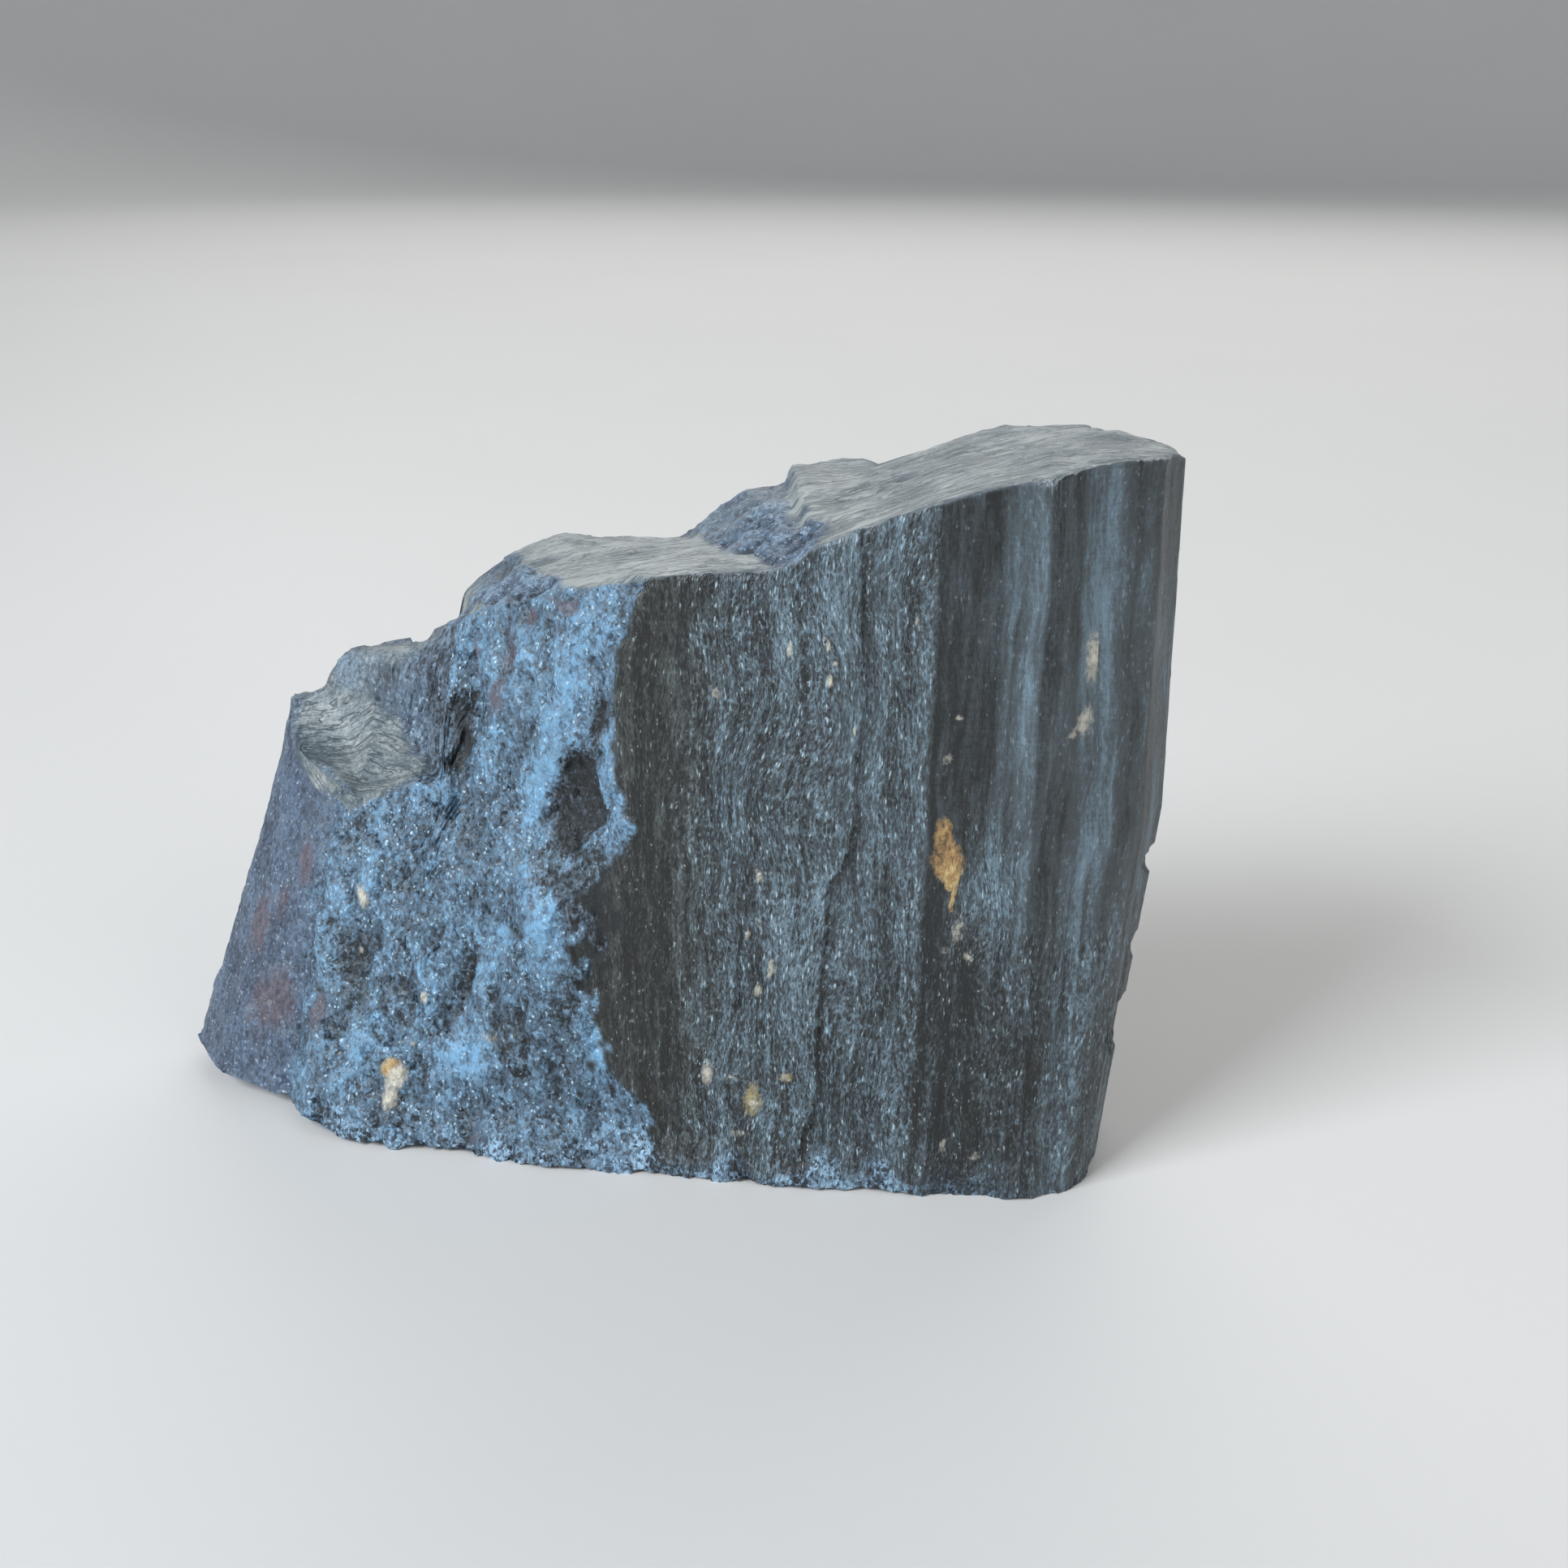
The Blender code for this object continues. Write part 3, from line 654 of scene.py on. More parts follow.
def on_riser(x, y):
    """1 on the risers, 0 on the treads, with a frayed line between."""
    t = np.clip((y - front_rim(x)) / (back_rim(x) - front_rim(x)), 0, 1)
    fray = 0.38 * noise(x, y, 0, (1.1, 1.1, 1), 56) + 0.22 * noise(x, y, 0, (0.42, 0.42, 1), 57)
    fray = fray + 0.6 * noise(x, y, 0, (2.6, 2.2, 1), 54) * ease(-9.0, -6.0, x)
    on = np.zeros(len(x))
    for foot, lip in RISERS:
        early = 1.2 * (1 - t) * (foot == "riser 3 foot")
        past = ease(-0.25, 0.25, x - break_x(foot, t) + early + fray)
        short = ease(-0.25, 0.25, break_x(lip, t) - x + fray)
        on = np.maximum(on, past * short)
    # a smoother shoulder high on the leftmost riser
    shoulder = ease(0.40, 0.75, t) * ease(-0.3, 0.5, x - break_x("riser 3 middle", t))
    return on * (1 - 0.6 * shoulder * (x < -9.0)) * (1 - 0.35 * ease(0.35, 0.8, t))


def stairs(v, riser):
    """v cut into little stairs of the given height, each with a short steep edge."""
    step = v / riser
    low = np.floor(step)
    return riser * (low + ease(0.30, 0.70, step - low))


def lay(x, y):
    """The streaks of the treads follow lines where this is even."""
    return y + 0.82 * np.clip(x + 16.0, 0, 6.0)


def ripple_height(x, y, z):
    """The flowing ledges of the treads, drawn out along the crystal."""
    y = lay(x, y)
    w = y + 0.25 * noise(x, y, 0, (5.5, 2.6, 1), 60) + 0.06 * x
    v = 0.42 * noise(x, w, 0, (6.0, 1.5, 1), 61) + 0.13 * noise(x, w, 0, (2.8, 0.62, 1), 62)
    return 0.55 * stairs(v, 0.09) + 0.022 * noise(x, w, 0, (1.1, 0.42, 1), 63)


def sunken(x, y, z):
    """How much painted shade darkens the hollows of the fracture, and how deep they are, at each point."""
    u = x + 0.7 * noise(x, y, z, (1.2, 1.2, 1.8), 97) + 0.35 * noise(x, y, z, (0.45, 0.45, 0.7), 98)
    w = z + 1.3 * noise(x, y, z, (1.2, 1.2, 1.8), 99) + 0.5 * noise(x, y, z, (0.45, 0.45, 0.7), 94)
    dark, deep = np.zeros(len(x)), np.zeros(len(x))
    for _, outline, depth, gloom in HOLLOWS:
        far = within(u, w, outline)
        dark = np.maximum(dark, gloom * np.clip(0.45 + far / 0.9, 0, 1))
        deep = np.maximum(deep, depth * ease(-0.2, 0.7, far))
    return dark, deep


def slant(q, z):
    """How far the strokes of the striated face are pushed aside where they lean."""
    here = np.exp(-(((q - 7.2) / 3.2) ** 2) - ((z - 24.3) / 4.2) ** 2)
    low = np.exp(-(((q - 12.2) / 2.0) ** 2) - ((z - 9.0) / 5.0) ** 2)
    return 0.30 * (z - 24.3) * here + 0.10 * (z - 9.0) * low


def relief(verts, facts):
    """How far each point stands out (+) or in (-) of the plain design, in mm."""
    x, y, z = verts.T
    q = facts["along"]
    fray = 0.34 * noise(x, y, z, (0.55, 0.55, 0.7), 70) + 0.30 * noise(x, y, z, (1.6, 1.6, 1.8), 71)
    torn = 1 + 3.2 * (1 - ease(11.0, 17.0, z)) * (facts["face"] > 9)
    prism = ease(-0.22, 0.22, facts["prism"] + fray * torn)
    strip = ease(-1.0, 1.0, facts["strip"] + 2.2 * fray) * (1 - prism)
    facts["prism_here"], facts["strip_here"] = prism, strip
    # how even the striated face is: the far right is silky, most of all high up
    calm = prism * table(q, CALM) * (0.30 + 0.70 * np.maximum(ease(12.0, 18.0, z), 1 - ease(3.0, 8.0, q)))
    rough_spot = np.exp(-((((x - 17.7) / 1.9) ** 2 + ((z - 17.0) / 3.8) ** 2) ** 1.5)) * (y < 0)
    calm = calm * (1 - 0.85 * rough_spot)
    facts["calm"] = calm
    striated = striation_height(q - slant(q, z), z) * (1 - 0.5 * calm)
    grain = grain_height(x, y, z)
    smooth = 0.34 * grain + 0.03 * noise(x, y, z, (0.5, 0.5, 1.6), 72)
    side = prism * striated + strip * smooth + (1 - prism - strip) * grain

    # the bruised foot is grainy on the striated face too
    ragged = 1.3 * noise(x, y, z, (1.6, 1.6, 1.6), 73) + 0.5 * noise(x, y, z, (0.5, 0.5, 0.5), 74)
    bruise = 1 - ease(0.2, 1.5, facts["up"] + ragged)
    bruise = bruise * ease(-20, -16, x) * (1 - ease(17.0, 21.0, x)) * (y < 0)
    side = side + bruise * prism * 0.8 * grain
    facts["bruise"] = bruise * facts["side"]
    facts["gloom"], deep = sunken(x, y, z)
    side = side - deep * (facts["face"] >= 8)
    fine = side

    # arrises rounded by wear
    around = np.zeros(len(x))
    for k, worn in enumerate(WORN):
        here = facts["face"] == k
        after = WORN[(k + 1) % len(WORN)]
        around = around + here * (
            worn * np.exp(-((facts["done"] / 0.5) ** 2)) + after * np.exp(-((facts["left"] / 0.5) ** 2))
        )
    side = side - around

    steep = on_riser(x, y)
    rag = facts["edge"] + 1.1 * noise(x, y, 0, (1.3, 0.8, 1), 58) + 0.5 * noise(x, y, 0, (0.4, 0.4, 1), 59)
    facts["riser"] = np.maximum(steep, 0.7 * (1 - ease(-0.3, 0.5, rag)) * (1 - ease(-13.0, -10.0, x)))
    rubble = grain_height(x, y, z, 55)
    roof = (1 - steep) * ripple_height(x, y, z) + steep * 1.25 * rubble
    under = -0.10 * (0.6 + noise(x, y, 0, (1.1, 1.1, 1), 80))

    d = np.select([facts["roof"] > 0, facts["under"] > 0], [roof, under], side)
    d = np.where(facts["rim"], 0.5 * roof + 0.5 * side, d)
    facts["relief"] = np.select([facts["roof"] > 0, facts["under"] > 0], [roof, under], fine)

    # crumbled edges
    edge = np.exp(-((facts["edge"] / 0.33) ** 2))
    nibble = np.clip(noise(x, y, z, (0.85, 0.85, 0.85), 90) - 0.05, 0, 1)
    nibble = nibble + 0.5 * np.clip(noise(x, y, z, (2.4, 2.4, 2.4), 91), 0, 1)
    return d - 0.24 * edge * nibble
# ------------------------------------------------------- where it looks different
# painted light (+) and shade (-) in bands along the prism, where the flutes turn towards or away from the light:
# distance along it, strength
BANDS = (
    (-4.0, -0.9), (0.1, -1.45), (1.2, -1.35), (2.0, -0.95), (2.6, -0.60), (3.2, -0.25), (3.8, 0.10),
    (4.3, 0.20), (4.8, 0.10), (5.2, -0.40), (5.6, -0.25), (6.2, 0.05), (7.4, 0.15), (8.6, 0.22),
    (9.6, 0.20), (10.6, 0.10), (11.2, 0.15), (12.2, 0.20), (13.0, 0.15), (13.7, 0.35), (14.1, 0.30),
    (14.4, -1.20), (15.4, -1.20), (17.0, -1.10), (17.5, -0.30), (17.9, 0.55), (18.3, 0.45),
    (18.9, 0.80), (19.3, 0.70), (19.55, -0.75), (20.1, -0.85), (20.5, -0.55), (20.9, -0.60),
    (21.2, 0.65), (21.9, 1.15), (22.7, 1.05), (23.1, 0.20), (23.8, 0.00), (24.4, -0.30),
    (27.0, -0.30), (31.0, -0.20), (90.0, -0.20),
)
# how even and quiet the surface is along the prism: 0 woven, 1 smooth
CALM = (
    (-4.0, 0.55), (1.2, 0.50), (2.0, 0.30), (3.2, 0.05), (9.0, 0.0), (9.8, 0.25), (11.6, 0.25), (12.4, 0.10),
    (14.0, 0.20), (14.5, 0.90), (31.0, 0.90), (33.0, 0.4), (90.0, 0.3),
)
# painted reflection that lightens the treads, along the crystal: x, strength
TREADS = ((-21.0, 0.10), (-12.0, 0.12), (-9.0, 0.15), (-4.0, 0.36), (5.0, 0.34), (9.0, 0.20), (14.0, 0.12), (20.0, 0.05))
# patches of painted light (+) and shade (-) on the sides: name, (x, z), half width, half height, slant dx/dz, strength
PATCHES = (
    ("bright band, upper", (-4.6, 22.4), 1.05, 5.6, 0.30, 1.30),
    ("light upper part", (-6.0, 27.0), 2.6, 3.4, 0.30, 0.26),
    ("bright beside the ridge", (-1.5, 28.4), 1.2, 4.0, 0.05, 0.42),
    ("blue edge of the ridge", (-1.0, 23.4), 0.50, 2.6, 0.00, 0.55),
    ("bright band, lower", (-4.9, 13.8), 1.05, 3.4, 0.07, 0.80),
    ("ridge knob", (-0.8, 19.3), 1.1, 0.7, 0.40, 0.50),
    ("bright low left", (-16.0, 5.4), 1.0, 1.1, 0.20, 0.85),
    ("bright foot of the ridge", (-2.4, 6.0), 0.75, 2.4, 0.05, 1.10),
    ("bright by the crease", (-8.0, 11.3), 0.8, 2.0, 0.25, 0.70),
    ("bright low middle", (-9.9, 5.0), 1.6, 1.8, 0.10, 1.45),
    ("bright low", (-11.8, 3.6), 1.6, 1.2, 0.10, 0.40),
    ("light spot", (-7.4, 12.3), 0.45, 0.50, 0.0, 1.00),
    ("dark gully", (-9.4, 10.1), 0.40, 1.9, 0.32, -1.10),
    ("dark left", (-16.2, 9.6), 0.95, 1.9, 0.15, -0.75),
    ("dark crease", (-9.5, 23.4), 0.50, 3.4, 0.05, -0.95),
    ("dark foot of the crease", (-10.4, 20.6), 1.0, 0.5, 0.0, -0.60),
    ("dark low right", (-3.9, 6.7), 0.9, 2.9, -0.20, -0.60),
    ("dark left of the gully", (-8.6, 14.4), 0.5, 0.9, 0.2, -0.40),
    ("grey top by the ridge", (0.1, 31.4), 1.2, 0.7, 0.3, 0.4),
    ("smooth by the slab", (10.0, 31.5), 0.9, 2.4, 0.0, 0.35),
    ("mottled beside the gold", (17.7, 17.2), 1.4, 3.0, 0.0, 2.1),
    ("dark low on the right", (17.6, 8.0), 4.2, 9.0, 0.0, -1.00),
    ("grey strip low on the right", (22.6, 9.0), 0.85, 9.5, 0.05, 0.95),
    ("dark corner on the right", (23.5, 1.6), 1.1, 0.9, 0.0, -1.2),
    ("pale foot", (13.4, 4.6), 1.0, 4.0, 0.05, 0.25),
)
# deep hollows of the fracture, darkened to brown-black with painted shade: name, outline as (x, z), depth in mm,
# darkness of the painted shade
HOLLOWS = (
    ("scoop", ((-1.5, 26.6), (-2.9, 24.0), (-3.9, 21.9), (-4.6, 20.1), (-5.1, 18.6), (-4.9, 17.6),
               (-4.0, 17.4), (-2.5, 18.0), (-1.5, 18.8), (-1.4, 19.8), (-1.7, 20.8), (-1.8, 23.2),
               (-1.3, 25.0)), 0.30, 0.98),
    ("crack", ((-4.3, 17.9), (-2.0, 18.7), (-0.2, 20.1), (-0.1, 19.8), (-2.0, 18.3), (-4.3, 17.6)), 0.25, 0.75),
    ("under the crack", ((-6.0, 16.8), (-4.4, 17.2), (-2.6, 17.6), (-1.2, 17.6), (-1.0, 15.4),
                         (-1.5, 12.0), (-3.1, 12.8), (-3.8, 14.8), (-4.8, 16.0)), 0.05, 0.78),
    ("deep pocket", ((-7.9, 8.6), (-6.5, 9.4), (-5.5, 8.8), (-5.5, 6.6), (-6.1, 3.9), (-7.2, 3.5),
                     (-7.8, 5.3), (-8.2, 7.0)), 0.25, 0.62),
    ("mottled pocket", ((-5.0, 11.2), (-3.2, 11.6), (-3.0, 9.2), (-3.7, 6.6), (-4.7, 7.9)), 0.15, 0.62),
    ("dark corner", ((-2.4, 12.4), (-1.0, 12.2), (-1.3, 10.1), (-2.0, 10.4)), 0.15, 0.75),
    ("soft hole", ((-6.6, 14.7), (-5.3, 15.2), (-5.3, 13.8), (-6.3, 13.4)), 0.12, 0.60),
    ("crease", ((-9.3, 12.2), (-8.8, 12.1), (-9.1, 9.7), (-9.6, 8.2), (-10.0, 8.4), (-9.7, 10.5)), 0.25, 0.70),
    ("cleft", ((-10.5, 23.8), (-9.7, 24.3), (-8.6, 24.3), (-8.7, 22.5), (-9.0, 20.5), (-10.3, 20.3),
               (-11.5, 20.3), (-12.5, 20.2), (-11.6, 21.0), (-10.7, 21.8)), 0.10, 0.75),
    ("low on the left", ((-16.9, 12.4), (-16.1, 12.2), (-16.2, 9.6), (-17.2, 8.4), (-17.4, 10.2)), 0.10, 0.38),
    ("low nick", ((-13.1, 10.6), (-12.6, 10.4), (-12.9, 8.6), (-13.4, 8.2)), 0.10, 0.45),
    ("foot nick", ((-14.2, 8.6), (-13.2, 8.9), (-12.8, 7.4), (-13.9, 6.9)), 0.12, 0.45),
)
# smooth purple-brown patches: (x, z), half width, half height, slant
PURPLE = (
    ((-22.6, 9.6), 0.9, 1.9, 0.45), ((-21.6, 5.6), 1.9, 2.2, 0.30), ((-18.5, 6.3), 0.55, 1.5, 0.35),
    ((-19.3, 13.8), 0.5, 1.9, 0.25), ((-21.0, 11.0), 0.4, 1.6, 0.35),
    ((-8.6, 26.4), 0.5, 1.6, 0.2), ((-6.6, 27.4), 0.45, 1.5, 0.2), ((-7.4, 25.0), 0.4, 1.4, 0.25),
    ((-11.6, 24.2), 0.6, 1.4, 0.5), ((-3.2, 30.4), 0.9, 0.6, 0.2), ((-5.3, 29.4), 0.4, 0.7, 0.2),
)
# mineral grains in the rock: (x, z), half width, half height, slant, strength
GOLD = (
    ((15.70, 19.8), 0.62, 1.60, -0.03, 1.0), ((15.92, 18.9), 0.98, 1.20, 0.0, 1.0),
    ((16.12, 17.95), 0.42, 0.72, 0.0, 1.0), ((16.2, 17.0), 0.20, 0.45, 0.0, 0.7),
    ((16.2, 16.4), 0.16, 0.40, 0.0, 0.5), 
    ((6.0, 4.6), 0.62, 1.30, 0.10, 0.42), ((7.85, 6.2), 0.62, 0.42, 0.5, 0.35),
    ((-13.90, 4.20), 0.80, 0.66, 0.10, 0.9),
)
PALE = (
    ((16.5, 15.2), 0.45, 0.9, 0.2, 0.40), ((17.1, 13.7), 0.45, 0.5, -0.6, 0.40),
    ((15.9, 14.1), 0.30, 0.35, 0.0, 0.40), ((16.0, 2.9), 0.22, 0.65, 0.0, 0.45),
    ((17.8, 2.4), 0.45, 0.40, 0.0, 0.45), ((22.75, 29.3), 0.56, 1.55, -0.04, 0.75),
    ((22.5, 26.1), 0.60, 1.00, 0.0, 0.60), ((21.9, 25.6), 0.40, 0.35, 0.5, 0.60), ((16.35, 26.4), 0.40, 0.26, 0.0, 0.40),
    ((-13.62, 3.75), 0.68, 0.86, 0.25, 1.3), ((-14.05, 2.70), 0.60, 0.95, 0.2, 1.1), ((-15.6, 12.8), 0.46, 0.85, -0.05, 0.85),
    ((-15.9, 9.9), 0.22, 0.30, 0.0, 0.6), ((-11.95, 8.2), 0.24, 0.42, 0.0, 0.9),
    ((-8.3, 6.6), 0.5, 0.45, 0.0, 0.30), ((5.3, 2.6), 0.9, 0.30, 0.0, 0.30),
    ((3.6, 5.9), 0.36, 0.90, 0.05, 0.70), ((7.8, 6.2), 0.34, 0.36, 0.0, 0.60),
    ((5.0, 5.9), 0.34, 0.20, 0.0, 0.60), ((6.1, 4.4), 0.34, 0.50, 0.0, 0.70),
    ((6.45, 17.4), 0.32, 0.55, -0.3, 0.80), ((7.0, 12.3), 0.26, 0.75, 0.25, 0.80),
    ((6.4, 11.0), 0.26, 0.50, 0.2, 0.65), ((5.9, 14.1), 0.24, 0.45, 0.0, 0.50),
    ((6.5, 14.8), 0.26, 0.40, 0.0, 0.45), ((8.05, 29.3), 0.28, 0.60, 0.15, 0.60),
    ((9.75, 29.7), 0.18, 0.60, 0.0, 0.85), ((9.95, 27.9), 0.22, 0.44, 0.0, 1.0),
    ((10.2, 28.8), 0.16, 0.22, 0.0, 0.7), ((4.2, 26.9), 0.30, 0.42, 0.0, 0.50),
    ((11.25, 25.4), 0.16, 0.30, 0.0, 0.9), ((14.1, 31.1), 0.20, 0.40, 0.2, 0.45),
    ((15.75, 24.3), 0.34, 0.42, 0.0, 0.35), ((-14.2, 22.2), 0.22, 0.22, 0.0, 0.8),
    ((-12.6, 5.6), 0.20, 0.22, 0.0, 0.6), ((-17.0, 4.6), 0.18, 0.16, 0.0, 0.6),
)


def falloff(x, z, centre, half_w, half_h, slant):
    """1 in the middle of a patch, 0 at its edge and below 0 outside."""
    x = x + 0.14 * noise(x, z, 0, (0.55, 0.55, 1), 86) + 0.07 * noise(x, z, 0, (0.25, 0.25, 1), 87)
    u = (x - centre[0] - slant * (z - centre[1])) / half_w
    v = (z - centre[1]) / half_h
    return 1 - np.sqrt(u * u + v * v)


def within(x, z, outline):
    """Distance in mm from an outline, + inside it."""
    points = np.array(outline, float)
    nearest = np.full(len(x), 99.0)
    for k in range(len(points)):
        (ax, az), (bx, bz) = points[k - 1], points[k]
        t = ((x - ax) * (bx - ax) + (z - az) * (bz - az)) / ((bx - ax) ** 2 + (bz - az) ** 2)
        t = np.clip(t, 0, 1)
        nearest = np.minimum(nearest, np.hypot(x - ax - t * (bx - ax), z - az - t * (bz - az)))
    return np.where(inside(x, z, *points.T), nearest, -nearest)


def spots(x, z, rows, front):
    found = np.full(len(x), -1.0)
    for centre, half_w, half_h, slant, strength in rows:
        here = falloff(x, z, centre, half_w, half_h, slant)
        found = np.maximum(found, np.where(here > 0, here * strength, here))
    return np.where(front, found, -1.0)


def paint(verts, facts):
    """The fields that the material reads, one value for each point, among them painted light and shade."""
    x, y, z = verts.T
    side = (facts["side"] > 0) & ((facts["face"] >= 8) | (facts["face"] < 1))
    q = facts["along"]
    bands = table(q, BANDS)
    gap = facts["along"] - table(z, SLAB_EDGE)
    gap = gap - 0.12 * noise(0, z, 0, (1, 1.4, 1), 91) - 0.10 * noise(0, z, 0, (1, 0.45, 1), 89)
    # a painted highlight along the lit edge of the slab, less painted light across the slab itself, and a painted
    # shadow just past its edge, wider low down
    fringe = 0.75 * np.exp(-((gap / 0.42) ** 2)) * (0.6 + 1.2 * noise(0, z, 0, (1, 2.0, 1), 88))
    bands = bands + fringe * (gap < 0) * (0.75 + 0.25 * ease(15.0, 19.0, z))
    bands = bands - 0.6 * ease(-3.6, -1.2, gap) * (gap < 0)  # the slab's rise alone lights it
    bands = bands - (0.75 + 0.55 * (z < 17)) * np.exp(-((gap / (0.6 + 0.5 * (z < 13))) ** 2)) * (gap >= 0)
    bands = np.where((facts["face"] >= 4) & (facts["face"] < 12), table(facts["along"], BANDS), bands)
    # low on the right the painted bands fade and the surface is duller
    right = ease(14.2, 14.6, q) * (1 - ease(12.0, 19.0, z))
    bands = bands * (1 - 0.65 * right)
    # the painted light on the ribs near the right end is clearest high up
    bands = bands * (1 - 0.62 * ease(17.0, 17.6, q) * (1 - ease(19.3, 19.6, q)) * (1 - ease(20.5, 25.5, z)))
    # painted light and shade on the ribs of the back and right sides
    back = ease(24.0, 27.0, q) * (0.9 * noise(q, 0.1 * z, 0, (1.1, 1, 1), 95) + 0.6 * noise(q, 0.06 * z, 0, (2.9, 1, 1), 96))
    bands = bands + back * 1.6
    painted_light_and_shade = facts["prism_here"] * bands
    # patches of painted light and shade on the sides
    for _, centre, half_w, half_h, slant, strength in PATCHES:
        u = (x - centre[0] - slant * (z - centre[1])) / half_w
        v = (z - centre[1]) / half_h
        painted_light_and_shade = painted_light_and_shade + side * strength * np.exp(-((u * u + v * v) ** 1.3))
    # painted reflection lightens the treads; painted shade darkens the risers towards the right
    painted_light_and_shade = painted_light_and_shade + (facts["roof"] > 0) * (1 - facts["riser"]) * table(x, TREADS)
    painted_light_and_shade = painted_light_and_shade - 0.32 * (facts["roof"] > 0) * facts["riser"] * ease(-2.0, 1.0, x)
    # the streaks of the lowest shelf lap over its rim
    lap = 1.0 + 0.9 * noise(x, y, z, (1.6, 1.6, 1.2), 93) + 0.7 * noise(x, y, z, (0.5, 0.5, 0.35), 92)
    lap = np.maximum(lap, 0.2)
    # painted shade in the cleft that runs back across the foot of the leftmost riser
    far = np.hypot((x + 11.2 + 0.15 * (y - 2.0)) / 1.5, (y - 2.0) / 3.4) + 0.45 * noise(x, y, z, (0.9, 1.2, 1.2), 85)
    cleft = 0.70 * np.clip(1.5 - 1.1 * far, 0, 1)
    wash = side * (facts["down"] < 3.2) * (1 - ease(0.0, 1.0, facts["down"] / lap)) * ease(-21.5, -19.0, x) * (1 - ease(-15.5, -13.0, x))
    purple = np.zeros(len(x))
    for centre, half_w, half_h, slant in PURPLE:
        purple = np.maximum(purple, falloff(x, z, centre, half_w, half_h, slant) + 0.35)
    return {
        "painted_light_and_shade": painted_light_and_shade,
        "calm": facts["calm"],
        "gloom": np.where(side, facts["gloom"], (facts["roof"] > 0) * cleft),
        "prism": facts["prism_here"],
        "strip": facts["strip_here"],
        "bruise": facts["bruise"],
        "riser": facts["riser"],
        "wash": 0.75 * wash - 0.6 * ease(1.8, 3.2, facts["down"]),
        "lay": lay(x, y) + 2.0 * np.minimum(facts["down"], 3.2),
        "purple": np.where(side, np.clip(purple, 0, 1), 0.0),
        "gold": spots(x, z, GOLD, side),
        "pale": spots(x, z, PALE, side),
        "edge": np.exp(-((facts["edge"] / 0.22) ** 2)) * (1 - 0.9 * np.exp(-(((x + 10.2) / 1.6) ** 2))),
        # the relief height, which the material uses as painted shade in recesses and painted light on rises
        "hollow": facts["relief"],
    }
